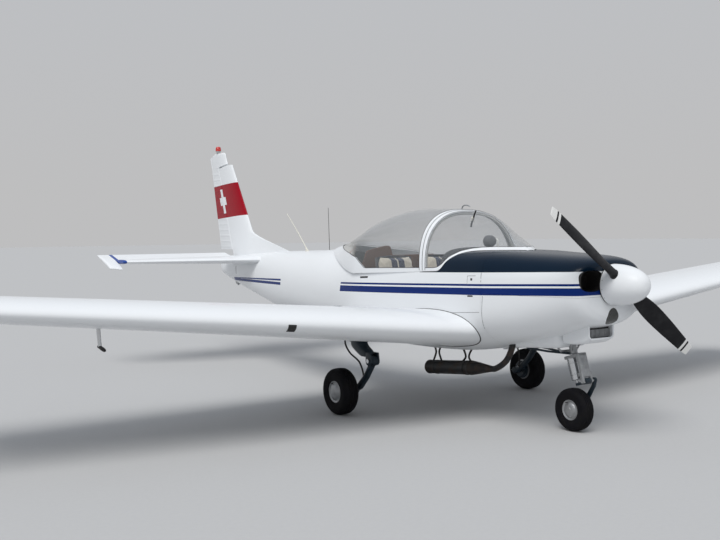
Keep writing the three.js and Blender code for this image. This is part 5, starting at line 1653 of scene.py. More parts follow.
# Rudder: a light metal surface with pressed stiffening beads across it, on a raked hinge, with a balance
# horn on top.
rows = []
rudder_levels = np.arange(1406, 2532, 7)
for z in rudder_levels:
    half = rudder_half_at(z)
    hinge, aft = hinge_at(z), aft_at(z)
    turns = np.linspace(0, math.pi / 2, 9)
    nose = np.stack([half * np.sin(turns), hinge - half * np.cos(turns)], -1)
    u = np.linspace(0, 1, 22)[1:]
    out = half + (trailing - half) * u
    ripple = (0.5 + 0.5 * math.cos((z - 1440) / 76 * 2 * math.pi)) ** 6 if 1440 < z < 2470 else 0
    out = out + 2.4 * ripple * np.clip(np.minimum(u, 1 - u) * 9, 0, 1)
    side = np.concatenate([nose, np.stack([out, hinge + (aft - hinge) * u], -1)])
    port_side = np.stack([side[:, 0], side[:, 1], np.full(len(side), z)], -1)
    rows.append(np.concatenate([port_side[::-1], port_side[1:] * [-1, 1, 1]]))
rudder_skin = solid("rudder_blade", rows)
horn_table = [(2490, 6928, 7449, 27), (2640, 6999, 7484, 24), (2700, 7028, 7499, 20), (2713, 7060, 7488, 8)]
rows = []
for z in [2512, 2530, 2560, 2600, 2640, 2670, 2690, 2700, 2706, 2710, 2712.5]:
    _, nose, aft, half = table_row(horn_table, z)
    outline = foil_outline(aft - nose, half / (aft - nose) / 0.5, count=30)
    drop = (z - 2512) / 201 * np.interp(nose + outline[:, 0], [7335, 7500], [0, 52])
    floor_z = np.maximum(z - drop, np.interp(nose + outline[:, 0], [6900, 7214, 7216], [2560, 2516, 2300]))
    rows.append(np.stack([outline[:, 1], nose + outline[:, 0], floor_z], -1))
horn = solid("rudder_horn", rows, merge=1e-6)
rudder_skin = joined("rudder_skin", [rudder_skin, horn])
fitted(rudder_skin, fin_red, body="rudder", stands_for=("rudder",))

# Beacon: a red moulded glass dome in a metal collar, screwed to the top of the rudder.
beacon_seat = rudder_top + 0.3
beacon_glass, tree, shader = shader_for("beacon_glass", (0.55, 0.012, 0.008), 0.12, Coat_Weight=0.6)
place = object_place(tree)
tint(tree, shader, noise(tree, place, 60), (0.42, 0.008, 0.006), (0.70, 0.03, 0.02))
rise = axes_of(tree, place)["Z"]
flutes = calc(tree, "SINE", times(tree, rise, 1500.0))
bump(tree, shader, flutes, 0.0006, 0.6)


def turned_up(name, profile, centre, sides=48):
    turns = circle(sides)
    x, y = np.cos(turns), np.sin(turns)
    rows = [np.stack([centre[0] + r * x, centre[1] + r * y, np.full(sides, z)], -1) for r, z in profile]
    return solid(name, rows)


dome = turned_up("beacon_dome",
                 [(35, 2744), (38, 2747), (38, 2762), (36, 2782), (31, 2798), (20, 2807), (6, 2809.6)],
                 (0, 7243))
fitted(dome, beacon_glass, body="rudder", stands_for=("beacon",))
collar = turned_up("beacon_collar",
                   [(26, beacon_seat), (28, beacon_seat + 2), (28, 2736), (37, 2739), (37, 2745)],
                   (0, 7243))
fitted(collar, bright_metal, body="rudder")

# Tailplane and elevator: two fixed halves with moulded tips, and two elevator halves on one steel torque
# tube. Each elevator half has a balance horn outside the fixed tip. They are parked with the trailing
# edge up.
tail_z, tail_hinge = 1285, 6620
tail_root, tail_tip = (20, 5723, 6868), (1800, 6368, 6872)
tail_half_span, elevator_rest, elevator_span = 1835, math.radians(18), (112, 1700)
tail_paint, tree, shader, total, dust = paint("tailplane_paint", white)
axes = axes_of(tree, object_place(tree))
tip_mask = times(tree, calc(tree, "GREATER_THAN", calc(tree, "ABSOLUTE", axes["X"]), 1.650),
                calc(tree, "LESS_THAN", calc(tree, "ABSOLUTE", axes["X"]), 1.6945))
finish_paint(tree, shader, blended(tree, tip_mask, (*white, 1), (0.015, 0.06, 0.30, 1)), total, dust)


def tail_section(x):
    share = (x - tail_root[0]) / (tail_tip[0] - tail_root[0])
    nose = tail_root[1] + share * (tail_tip[1] - tail_root[1])
    return nose, tail_root[2] + share * (tail_tip[2] - tail_root[2]) - nose


def tail_hinge_half(x):
    nose, chord = tail_section(x)
    return float(foil_half(np.array([(tail_hinge - nose) / chord]), 0.095)[0] * chord)


def tailplane_ring(x, share=1.0):
    nose, chord = tail_section(x)
    half = tail_hinge_half(x)
    cove = half + wing_run
    lip = tail_hinge - math.sqrt(cove**2 - half**2)
    u_end = (lip - nose) / chord
    u = u_end * (1 - np.cos(np.linspace(0, math.pi / 2, 36)))
    out = foil_half(u, 0.095) * chord * share
    first = math.asin((tail_hinge - lip) / cove)
    turns = np.linspace(first, math.pi - first, 15)[1:-1]
    arc = np.stack([tail_hinge - cove * np.sin(turns), cove * np.cos(turns) * share], -1)
    upper = np.stack([nose + u * chord, out], -1)[::-1]
    lower = np.stack([nose + u * chord, -out], -1)[1:]
    ring = np.concatenate([upper, lower, arc[::-1]])
    return np.stack([np.full(len(ring), float(x)), ring[:, 0], tail_z + ring[:, 1]], -1)


fixed_tip = elevator_span[1] - wing_run
tip_turns = [(math.sin(turn * math.pi / 2), math.cos(turn * math.pi / 2)) for turn in (0.25, 0.5, 0.75, 1.0)]
tip_run, horn_run = 24, 34
tail_rows = [tailplane_ring(x) for x in np.concatenate([[30], np.linspace(80, fixed_tip - tip_run, 16)])]
for out, up in tip_turns:
    tail_rows.append(tailplane_ring(fixed_tip - tip_run + tip_run * out, 0.55 + 0.45 * up))
port_tail = solid("tailplane_left_skin", tail_rows)
both_sides(port_tail, "tailplane", tail_paint, ("airframe", "airframe"))


def raised(rows):
    rows = np.asarray(rows, float)
    station, z = rows[..., 1] - tail_hinge, rows[..., 2] - tail_z
    c, s = math.cos(elevator_rest), math.sin(elevator_rest)
    return np.stack([rows[..., 0], tail_hinge + station * c - z * s, tail_z + station * s + z * c], -1)


def elevator_ring(x):
    nose, chord = tail_section(x)
    half = tail_hinge_half(x)
    turns = np.linspace(math.pi / 2, 1.5 * math.pi, 22)
    front = np.stack([tail_hinge + half * np.cos(turns), half * np.sin(turns)], -1)
    back = np.linspace(0, 1, 14)[1:]
    out = half + (trailing - half) * back
    upper = np.stack([tail_hinge + (nose + chord - tail_hinge) * back, out], -1)[::-1]
    lower = np.stack([tail_hinge + (nose + chord - tail_hinge) * back, -out], -1)
    ring = np.concatenate([upper, front, lower])
    return np.stack([np.full(len(ring), float(x)), ring[:, 0], tail_z + ring[:, 1]], -1)


def horn_ring(x, share=1.0):
    nose, chord = tail_section(x)
    outline = foil_outline(chord, 0.095 * share, count=30)
    return np.stack([np.full(len(outline), float(x)), nose + outline[:, 0], tail_z + outline[:, 1]], -1)


elevator_rows = [elevator_ring(x) for x in np.linspace(elevator_span[0], elevator_span[1] + 4, 18)]
horn_rows = [horn_ring(x) for x in (elevator_span[1], 1730, 1770, tail_half_span - horn_run)]
for out, up in tip_turns:
    horn_rows.append(horn_ring(tail_half_span - horn_run + horn_run * out, 0.3 + 0.7 * up))
port_elevator = joined("elevator_left_skin", [
    solid("part", raised(elevator_rows)),
    solid("part", raised(horn_rows)),
])
both_sides(port_elevator, "elevator", tail_paint, ("elevator", "elevator"))

# Wheels: light-alloy rims with a domed cover and a bright rolled edge, and black tyres with grooved treads.
# Each wheel runs on bearings on a stub axle and is free to turn.
main_wheel = {"x": 1125, "station": 2417, "radius": 205, "width": 152, "rim": 92}
nose_wheel = {"x": 0, "station": 717, "radius": 172, "width": 122, "rim": 76}
axle_radius = 19
tyre_rubber, tree, shader = shader_for("tyre_rubber", (0.008, 0.008, 0.010), 0.82, Specular_IOR_Level=0.14)
place = object_place(tree)
dusty = ramp(tree, noise(tree, place, 16, 5, 0.65), 0.42, 0.72, 0.0, 0.7)
tint(tree, shader, dusty, (0.004, 0.004, 0.006), (0.014, 0.013, 0.012))
gloss(tree, shader, dusty, 0, 0.7, 0.72, 0.95)
bump(tree, shader, noise(tree, place, 240, 3), 0.0006, 0.5)
rim_alloy = clouded("rim_alloy", (0.36, 0.37, 0.38), 0.42, 0.85, cloud=(26, 5, 0.6),
                    shades=((0.26, 0.265, 0.27), (0.50, 0.51, 0.52)),
                    shine=((40, 4), 0.2, 0.8, 0.32, 0.58), grain=((300, 3), 0.0003, 0.5))


def tyre_profile(wheel):
    radius, width, rim = wheel["radius"], wheel["width"], wheel["rim"]
    side = [  # radius, share of the width
        (rim + 0.4, 0.35), (rim + 3, 0.405), (rim + 8, 0.435), (rim + 14, 0.455), (rim + 15.5, 0.452),
        (rim + 17, 0.462), (radius * 0.70, 0.492), (radius * 0.77, 0.498), (radius * 0.82, 0.488),
        (radius * 0.825, 0.496), (radius * 0.84, 0.49), (radius * 0.90, 0.448), (radius * 0.94, 0.395),
        (radius * 0.965, 0.335),
    ]
    crown = []
    for share in np.linspace(0.30, -0.30, 61):
        level = radius * (1 - 0.1 * abs(share) ** 2 * 2.2)
        groove = any(abs(share - place) < 0.0125 for place in (-0.21, -0.07, 0.07, 0.21))
        crown.append((level - (7 if groove else 0), share))
    mirrored = [(r, -s) for r, s in reversed(side)]
    return [(r, s * width) for r, s in side + crown + mirrored]


def rim_profile(wheel, dome):
    width, rim = wheel["width"], wheel["rim"]
    out = width * 0.36
    return [(axle_radius + 1, -out - 14), (rim * 0.55, -out - 15), (rim * 0.88, -out - 13),
            (rim + 5, -out - 8), (rim + 6.5, -out - 3),
            (rim - 0.5, -out + 1), (rim - 0.5, out - 1), (rim + 6.5, out + 3), (rim + 5.5, out + 7),
            (rim + 1, out + 8), (rim * 0.93, out + 4), (rim * 0.87, out + 1), (rim * 0.80, out + 3),
            (rim * 0.72, out + dome * 0.45), (rim * 0.60, out + dome * 0.78),
            (rim * 0.45, out + dome * 0.95), (rim * 0.32, out + dome), (rim * 0.30, out + dome + 2.5),
            (rim * 0.22, out + dome + 4), (rim * 0.06, out + dome + 4.6), (0.4, out + dome + 4.6),
            (0.4, out - 8), (axle_radius + 1, out - 9)]


def wheel_at(wheel, side):
    return (side * wheel["x"], wheel["station"], wheel["radius"])


def wheel_ring(name, profile, count, centre):
    return turned(name, profile, count, centre, axis="x", wrap_profile=True)


def on_rim(wheel, centre, out, share, turn):
    reach = wheel["rim"] * share
    return centre[0] + out, centre[1] + reach * np.cos(turn), centre[2] + reach * np.sin(turn)


def wheel_pieces(wheel, side, dome, body, tyre_node, rim_node):
    centre = wheel_at(wheel, side)
    face = side if side else -1
    tyre = wheel_ring(tyre_node + "_carcass", tyre_profile(wheel), 120, centre)
    fitted(tyre, tyre_rubber, body=body, stands_for=(tyre_node,), angle=28)
    rim = wheel_ring(rim_node + "_disc", [(r, face * x) for r, x in rim_profile(wheel, dome)], 96, centre)
    fitted(rim, rim_alloy, body=body, stands_for=(rim_node,), angle=24)
    turns = circle(6) + 0.3
    out = face * (wheel["width"] * 0.36 + dome * 0.5 + 2)
    bolts = np.stack(np.broadcast_arrays(*on_rim(wheel, centre, out, 0.69, turns)), -1)
    aims = np.stack([np.full(6, float(face)), 0.55 * np.cos(turns), 0.55 * np.sin(turns)], -1)
    screw_row(rim_node + "_bolts", bolts, aims, 5, 3, body=body)
    valve_turn = 1.1
    stem = np.array(on_rim(wheel, centre, face * wheel["width"] * 0.36, 0.84, valve_turn))
    valve_line = [stem + [face * along, 0, 0] for along in (0, 15, 16, 24)]
    valve = pipe(rim_node + "_valve", valve_line, [4, 4, 3, 3], 12)
    fitted(valve, grip_black, body=body)


wheel_pieces(main_wheel, 1, 22, "main_wheel_left", "main_tyre_left", "main_rim_left")
wheel_pieces(main_wheel, -1, 22, "main_wheel_right", "main_tyre_right", "main_rim_right")
wheel_pieces(nose_wheel, 0, 20, "nose_wheel", "nose_tyre", "nose_rim")

# Main legs: dark painted castings bolted under the wing spar. Each ends in a clevis, where a trailing arm
# hangs on a bright pin, and the arm carries the stub axle with its brake.
leg_x, knee = 972, (2135, 492)
leg_paint, tree, shader = shader_for("leg_paint", (0.012, 0.022, 0.034), 0.45, Specular_IOR_Level=0.35)
place = object_place(tree)
worn = ramp(tree, noise(tree, place, 24, 6, 0.65), 0.52, 0.72)
tint(tree, shader, worn, (0.010, 0.020, 0.030), (0.035, 0.045, 0.052))
gloss(tree, shader, worn, 0, 1, 0.36, 0.6)
bump(tree, shader, noise(tree, place, 220, 4), 0.0008, 0.6)
leg_sections = [  # height, station, half length, half width
    (765, 2352, 78, 58), (700, 2350, 78, 58), (655, 2346, 78, 57), (608, 2328, 102, 56), (575, 2280, 118, 53),
    (545, 2234, 106, 49), (524, 2204, 86, 46),
]
rows = []
for z in np.linspace(765, 524, 40):
    _, station, along, across = table_row(leg_sections[::-1], z)
    turns = circle(40)
    x, y = oval(turns, across, along, along, 2.6, 2.6)
    rows.append(np.stack([leg_x + x, station + y, np.full(40, z)], -1))
leg_casting = solid("leg", rows)


def across_knee(start, end, radius, count=40):
    return pipe("disc", [(leg_x + start, *knee), (leg_x + end, *knee)], radius, count)


def cheek(start, end):
    outline = [(-44, 0), (-40, -18), (-28, -34), (0, -44), (28, -34), (40, -18), (44, 0), (42, 70), (-30, 70)]
    ring = [(knee[0] + along, knee[1] + up) for along, up in outline]
    rows = [[(leg_x + x, station, z) for station, z in ring] for x in (start, end)]
    return solid("cheek", rows)


knee_room = pipe("cutter", [(leg_x - 29, *knee), (leg_x + 29, *knee)], 58, 48)
leg_casting = joined("leg", [cut(leg_casting, knee_room), cheek(29, 45), cheek(-45, -29)])
bevelled(leg_casting, 0.003, 40)
pad_rows = [pad_ring((leg_x, 2350, z), (0, 1, 0), half, half + 24, 40)
            for z, half in ((640, 60), (646, 66), (654, 68), (700, 68))]
foot = solid("foot", pad_rows)
leg_casting = joined("main_leg_casting", [leg_casting, foot])
axle_line = (main_wheel["station"], main_wheel["radius"])
arm_rows = []
for t in np.linspace(0, 1, 24):
    station, z, half = (np.interp(t, [0, 0.3, 0.66, 1], column) for column in
                        ((2143, 2228, 2340, 2446), (458, 346, 240, 190), (27, 26, 31, 29)))
    turns = circle(28)
    x, out = oval(turns, 25, half, half, 3.2, 3.2)
    arm_rows.append(np.stack([leg_x + x, station + out * 0.8, z + out * 0.6], -1))
# The brake and the drum share the arm's dark paint. It is partly their own colour and partly painted shade,
# which keeps the inner faces of the wheels dark.
brake_x = 1040
brake_profile = [(24, -8), (58, -8), (61, -5), (61, 8), (58, 11), (24, 11)]
drum_profile = [(24, -6), (80, -6), (86, -3), (88, 2), (88, 6), (24, 6)]
arm = [
    solid("arm", arm_rows),
    across_knee(-25, 25, 45),
    wheel_ring("brake", brake_profile, 64, (brake_x, *axle_line)),
    wheel_ring("drum", drum_profile, 64, (brake_x + 6, *axle_line)),
    pipe("boss", [(leg_x - 27, *axle_line), (leg_x + 34, *axle_line)], 33, 40),
]
trailing_arm = joined("main_arm_forging", arm)
bevelled(trailing_arm, 0.002, 50)
pin_parts = [across_knee(-52, 52, 13, 24), across_knee(-56, -47, 20, 6), across_knee(47, 56, 20, 6)]
pin_parts.append(pipe("axle", [(leg_x + 20, *axle_line), (1168, *axle_line)], axle_radius - 0.4, 32))
knee_pin = joined("main_knee_pin", pin_parts)
hose_line = [(44, 2498, 692), (44, 2500, 610), (20, 2462, 530), (-22, 2376, 452), (-36, 2330, 330),
             (-31, 2350, 252)]
hose_points = np.array([(leg_x + x, station, z) for x, station, z in hose_line], float)
brake_hose = pipe("brake_hose", smooth_route(hose_points, 60), 8, 14)
hose_top, hose_foot = hose_points[0], hose_points[-1]
hose_ends = [pipe("end", [hose_top, hose_top + [0, 1, -26]], 9, 6),
             pipe("end", [hose_foot + [-0.4, -2, 12], hose_foot + [2, 6, -6]], 9, 6)]
hose_fittings = joined("brake_hose_fittings", hose_ends)
hose_rubber, tree, shader = shader_for("hose_rubber", (0.016, 0.016, 0.017), 0.6)
place = object_place(tree)
rise = axes_of(tree, place)["Z"]
tint(tree, shader, noise(tree, place, 50), (0.012, 0.012, 0.013), (0.035, 0.034, 0.032))
bump(tree, shader, calc(tree, "SINE", times(tree, rise, 2600.0)), 0.0003, 0.5)
for side, name in ((1, "left"), (-1, "right")):
    for piece, material, slot, node_name in (
        (leg_casting, leg_paint, "leg_paint", "main_leg_"),
        (trailing_arm, leg_paint, "leg_paint", "main_arm_"),
        (knee_pin, bright_metal, "gear_silver", None),
        (brake_hose, hose_rubber, "hose_rubber", "brake_hose_"),
        (hose_fittings, bright_metal, "gear_silver", None),
    ):
        part_name = piece.name + "_" + name
        part = copied(piece, part_name, 0) if side > 0 else mirror_copy(piece, part_name)
        fitted(part, material, stands_for=(node_name + name,) if node_name else ())
for spare in (leg_casting, trailing_arm, knee_pin, brake_hose, hose_fittings):
    bpy.data.objects.remove(spare)

# Nose gear: a polished rubber-spring cylinder and a cast plate hang from the steering bearing under the
# cowling. A one-sided trailing fork on a cross pin carries the nose wheel, and a braced mount holds the
# bearing.
steer_top, steer_rake = (712, 612), math.radians(17.3)


def on_leg(x, forward, down):
    sin, cos = math.sin(steer_rake), math.cos(steer_rake)
    return (x, steer_top[0] - down * sin - forward * cos, steer_top[1] - down * cos + forward * sin)


cast_silver = clouded("cast_silver", (0.34, 0.35, 0.36), 0.48, 0.75, cloud=(30, 6, 0.65),
                      shades=((0.22, 0.225, 0.23), (0.48, 0.49, 0.50)),
                      shine=((45, 4), 0.2, 0.8, 0.38, 0.62), grain=((190, 5, 0.7), 0.0012, 0.7))


def leg_block(low, high, round_by=4):
    (x0, f0, d0), (x1, f1, d1) = low, high
    rows = [[on_leg(x0, f0, d), on_leg(x1, f0, d), on_leg(x1, f1, d), on_leg(x0, f1, d)] for d in (d0, d1)]
    block = solid("block", rows)
    modify(block, "BEVEL", width=round_by / 1000, segments=3)
    return baked(block)


shock_forward, shock_length = -34, 200
plate = {"low": 52, "high": 84, "half": 46, "length": 194}
pivot = {"forward": 66, "down": 226, "radius": 12}
fork = {"inner": 74, "outer": 96}
cast_parts = [
    leg_block((-44, -78, 0), (44, plate["high"], 26), 6),
    leg_block((-plate["half"], plate["low"], 2), (plate["half"], plate["high"], plate["length"]), 7),
    leg_block((-18, -10, 150), (18, plate["low"] + 6, 178), 4),
    leg_block((34, plate["low"], 150), (plate["half"] + 8, plate["high"], pivot["down"] + 16), 6),
    leg_block((-plate["half"] - 8, plate["low"], 150), (-34, plate["high"], pivot["down"] + 16), 6),
]
for down in (48, 84, 120):
    cast_parts.append(leg_block((-30, plate["high"] - 4, down), (30, plate["high"] + 3, down + 12), 3))
nose_casting = joined("nose_leg_casting", cast_parts)
fitted(nose_casting, cast_silver, body="nose_steering", stands_for=("nose_leg",))
shock_steps = [(20, 40), (22, 42), (58, 42), (60, 44.5), (66, 44.5), (68, 42), (150, 42), (152, 44.5),
               (158, 44.5), (160, 42), (196, 42), (200, 38)]
shock = pipe("nose_shock_cylinder", [on_leg(0, shock_forward, down) for down, _ in shock_steps],
             [radius for _, radius in shock_steps], 64)
fitted(shock, bright_metal, body="nose_steering")


def on_pivot(x):
    return on_leg(x, pivot["forward"], pivot["down"])


axle_place = (nose_wheel["station"], nose_wheel["radius"])
_, pivot_station, pivot_z = on_pivot(0)
fork_line = [
    (pivot_station - 4, pivot_z - 4, 21), (pivot_station + 6, pivot_z - 46, 19),
    (axle_place[0] - 24, axle_place[1] + 26, 23), (axle_place[0] + 2, axle_place[1] - 2, 33),
]
rows = []
for t in np.linspace(0, 1, 22):
    station, z, half = (np.interp(t, [0, 0.33, 0.75, 1], [p[k] for p in fork_line]) for k in range(3))
    turns = circle(28)
    x, out = oval(turns, 9, half, half, 3.4, 3.4)
    rows.append(np.stack([83 + x, station + out * 0.93, z + out * 0.36], -1))
fork_parts = [
    solid("fork", rows),
    pipe("boss", [(fork["inner"], *axle_place), (fork["outer"] + 4, *axle_place)], 34, 40),
    pipe("boss", [(fork["inner"], pivot_station, pivot_z), (fork["outer"] - 3, pivot_station, pivot_z)],
         23, 36),
    pipe("barrel", [on_pivot(-33), on_pivot(33)], 24, 36),
    leg_block((-14, shock_forward - 14, pivot["down"] - 4), (14, pivot["forward"], pivot["down"] + 18), 4),
]
nose_fork = joined("nose_fork_forging", fork_parts)
bevelled(nose_fork, 0.002, 50)
fitted(nose_fork, leg_paint, body="nose_steering", stands_for=("nose_fork",))
rod_line = [on_leg(0, shock_forward, down) for down in (shock_length, pivot["down"] + 4)]
pins = [
    pipe("pin", [on_pivot(-plate["half"] - 14), on_pivot(fork["inner"] + 2)], pivot["radius"], 24),
    pipe("rod", rod_line, 13, 24),
    pipe("axle", [(fork["outer"] + 16, *axle_place), (-32, *axle_place)], axle_radius - 0.4, 32),
    pipe("nut", [(fork["outer"] + 4, *axle_place), (fork["outer"] + 15, *axle_place)], 25, 6),
]
fitted(joined("nose_fork_pins", pins), bright_metal, body="nose_steering")

mount_parts = [
    pipe("bearing", [on_leg(0, 0, -5.5), on_leg(0, 0, -12), on_leg(0, 0, -110)], [27, 29, 30], 48),
    pipe("pin", [on_leg(0, 0, -8), on_leg(0, 0, 22)], 15, 24),
    pipe("brace", [(-60, 800, 634), (-110, 860, 720)], 8, 20),
    pipe("brace", [(60, 800, 634), (110, 860, 720)], 8, 20),
    pipe("brace", [(-64, 800, 634), (64, 800, 634)], 9, 20),
    pipe("brace", [(0, 724, 632), (0, 806, 634)], 9, 16),
    pipe("brace", [(-16, 720, 630), (-66, 690, 726)], 7, 16),
    pipe("brace", [(16, 720, 630), (66, 690, 726)], 7, 16),
]
strut_line = [(20, 736, 618), (48, 960, 617), (66, 1150, 626), (70, 1206, 640)]
struts = [pipe("drag_strut", [(side * x, station, z) for x, station, z in strut_line], 9, 18)
          for side in (1, -1)]
fitted(joined("nose_drag_struts", struts), leg_paint)
fitted(joined("nose_gear_bearing", mount_parts), cast_silver, stands_for=("nose_gear_mount",))

# Exhaust: a mild-steel pipe from the cowling's outlet to a long muffler under the belly, black with soot
# and heat. Two pairs of black rubber straps carry the muffler.
soot, tree, shader = shader_for("exhaust_soot", (0.014, 0.013, 0.013), 0.62, 0.25)
place = object_place(tree)
burnt = ramp(tree, noise(tree, place, 14, 6, 0.65), 0.45, 0.72)
tint(tree, shader, burnt, (0.012, 0.012, 0.013), (0.06, 0.04, 0.03))
gloss(tree, shader, burnt, 0, 1, 0.45, 0.8)
bump(tree, shader, noise(tree, place, 260, 5, 0.7), 0.0008, 0.6)
muffler_x = -200
muffler_line = [  # station and height, radius
    ((1475, 428), 27), ((1560, 421.5), 40), ((1640, 415.5), 53), ((1690, 411.6), 60), ((1710, 410), 62),
    ((1722, 409), 64.5), ((1730, 408.3), 64.5), ((1736, 407.8), 62), ((2300, 354.8), 62),
    ((2308, 354), 64.5), ((2318, 353), 64.5), ((2326, 352.4), 60), ((2331, 352), 40), ((2336, 351.6), 22),
    ((2352, 346), 20),
]
muffler = pipe("muffler", [(muffler_x, *place_of) for place_of, _ in muffler_line],
               [radius for _, radius in muffler_line], 56)
down_line = [(1500, 426), (1420, 436), (1300, 505), (1238, 585), (1200, 680)]
down_pipe = pipe("pipe", smooth_route([(muffler_x, *place) for place in down_line], 40), 26, 28)
straps = []
for station in (1786, 2204):
    low = 410 + (station - 1710) / 620 * -58 + 54
    for way in (-1, 1):
        bow = [(muffler_x, station + way * 62, 576), (muffler_x, station + way * 26, 520),
               (muffler_x, station + way * 24, 490), (muffler_x, station + way * 64, low - 6)]
        straps.append(pipe("strap", smooth_route(bow, 16), 9, 12))
    clamp = [(muffler_x, station - 9, low - 54), (muffler_x, station + 9, low - 55)]
    straps.append(pipe("clamp", clamp, 64.5, 56))
fitted(joined("exhaust_assembly", [muffler, down_pipe, *straps]), soot,
       stands_for=("exhaust_muffler",))

# Firewall, engine and elevator tube: a stainless sheet bulkhead with brackets, a grey cast engine in
# front of it, and a steel torque tube that joins both elevators inside the tail.
firewall_sheet, tree, shader = shader_for("firewall_sheet", (0.50, 0.51, 0.53), 0.42, 0.8)
place = object_place(tree)
rolled = noise(tree, node(tree, "Mapping", {"Vector": place, "Scale": (3.0, 3.0, 160.0)}).outputs[0], 4, 3)
gloss(tree, shader, rolled, 0, 1, 0.32, 0.55)
tint(tree, shader, noise(tree, place, 7, 4), (0.40, 0.41, 0.43), (0.56, 0.57, 0.58))
dressed(firewall_sheet, "firewall", "elevator_tube")
engine_casting = clouded("engine_casting", (0.17, 0.175, 0.18), 0.62, 0.35, cloud=(12, 5),
                         shades=((0.12, 0.125, 0.13), (0.24, 0.245, 0.25)), grain=((380, 3), 0.0006, 0.6))
dressed(engine_casting, "engine_block")

# Radio aerials: a cream glass-fibre whip raked aft from a moulded foot, and a thin dark steel rod ahead
# of it.
aerial_cream = clouded("aerial_cream", (0.72, 0.70, 0.62), 0.42, cloud=(26, 4),
                       shades=((0.62, 0.60, 0.52), (0.78, 0.76, 0.69)))
foot_rows = []
for rise, half, ahead, behind in ((-14, 17, 62, 96), (2, 17, 60, 92), (10, 15, 46, 70), (22, 12, 26, 40),
                                  (30, 10, 14, 24), (33, 6, 8, 16)):
    turns = circle(40)
    along = np.where(np.cos(turns) < 0, ahead, behind) * np.cos(turns)
    foot_rows.append(np.stack([half * np.sin(turns), 4874 + along, np.full(40, 1384.0 + rise)], -1))
foot = solid("foot", foot_rows)
whip_route = smooth_route([(0, 4872, 1404), (0, 4900, 1434), (0, 5080, 1610), (0, 5350, 1848)], 24)
whip = pipe("whip", whip_route, np.linspace(7, 4, 24), 16)
collar = pipe("collar", [(0, 4880, 1410), (0, 4884, 1414), (0, 4902, 1434), (0, 4906, 1438)],
              [9, 11, 10, 7], 20)
fitted(joined("whip_aerial_rod", [foot, whip, collar]), aerial_cream,
       stands_for=("whip_aerial",))
rod_x, rod_station = 220, 4740  # on the port shoulder, beside the path of the open canopy
rod_z = next(z for z in range(1400, 1200, -1) if hull_side(rod_station, z) >= rod_x)
rod_points = [(0, rod_z + 6), (1, 1470), (10, 1690), (18, 1898), (18, 1902)]
thin_whip = pipe("rod", [(rod_x, rod_station + aft, z) for aft, z in rod_points],
                 [3.4, 3.0, 2.6, 2.4, 1.2], 12)
whip_foot = pipe("rod_foot", [(rod_x, rod_station, rod_z + up) for up in (-14, -4, 8, 30)],
                 [24, 24, 9, 6], 28)
fitted(joined("rod_aerial", [thin_whip, whip_foot]), duct_black)

# Outside air thermometer: a black probe through a white grommet at the top of the windscreen.
probe_x = -100
probe_line = [(1842, 1640), (1836, 1667), (1800, 1740), (1779, 1780), (1777, 1784)]
probe = pipe("probe", [(probe_x, *place) for place in probe_line], [8, 8, 7, 7, 4], 20)
fitted(probe, duct_black)
grommet_line = [(1832, 1694), (1829, 1700), (1817, 1722), (1814, 1728)]
grommet = pipe("air_probe_grommet", [(probe_x, *place) for place in grommet_line], [9, 14, 14, 9], 24)
fitted(grommet, aerial_cream)

# Canopy hook: a bent steel rod on the front bow, that holds the canopy open by hand and locks it shut.
hook_line = [(2090, 1796), (2084, 1812), (2070, 1832), (2040, 1840), (2000, 1836), (1972, 1824)]
hook_route = smooth_route([(0, *place) for place in hook_line], 22)
fitted(pipe("canopy_hook", hook_route, [5.5] * 20 + [4.5, 3], 14), screw_steel, body="canopy")

# Fuselage side fittings: a recessed step with its dark rubber lip, a latch plate, a cooling slot, the
# lifting-tube cover at the tail, and the sealed joints of two inspection panels.
def skin_plate(name, corners, lift=0.5, thick=1.4, steps=12, side=-1):
    near_low, far_low, far_high, near_high = [np.array(corner, float) for corner in corners]
    rows = []
    for share in np.linspace(0, 1, steps):
        start, end = near_low + (far_low - near_low) * share, near_high + (far_high - near_high) * share
        line = [start + (end - start) * t for t in np.linspace(0, 1, 7)]
        rows.append(np.array([(side * (hull_side(station, z) + lift), station, z) for station, z in line]))
    return walled(grid_piece(name, rows), thick)


def skin_band(name, start, end, width):
    (s0, z0), (s1, z1) = start, end
    across = np.array([-(z1 - z0), s1 - s0], float)
    across *= width / 2 / np.linalg.norm(across)
    ends = [np.array(start) + across, np.array(end) + across, np.array(end) - across,
            np.array(start) - across]
    return skin_plate(name, ends, steps=max(4, int(np.hypot(s1 - s0, z1 - z0) / 25)))


# The step and the cooling slot are flat black strips on the skin. The step's strip is partly its dark rubber
# lip and partly painted shade in the recess, and the cooling slot's strip is painted shade in place of the
# opening.
dark_lines = [
    skin_band("step_slot", (2834, 1180), (2978, 1173), 17),
    skin_band("cooling_slot", (1290, 1074), (1354, 1072), 12),
    skin_band("latch", (1296, 1210), (1317, 1210), 19),
    skin_band("tail_slot", (6554, 1193), (6538, 1090), 12),
]
fitted(joined("side_slots", dark_lines), duct_black)
seal_grey = clouded("seal_grey", (0.12, 0.12, 0.125), 0.6, cloud=(40,),
                    shades=((0.08, 0.08, 0.085), (0.18, 0.18, 0.185)))
seams = [
    skin_band("seam", (1258, 1240), (1354, 1237), 3), skin_band("seam", (1218, 947), (1562, 922), 3),
    skin_band("seam", (1178, 1081), (1202, 812), 3), skin_band("seam", (1354, 1237), (1358, 1170), 3),
    skin_band("seam", (1197, 1266), (1197, 1218), 3), skin_band("seam", (1197, 1206), (1197, 1190), 3),
]
fitted(joined("side_panel_seams", seams), seal_grey)

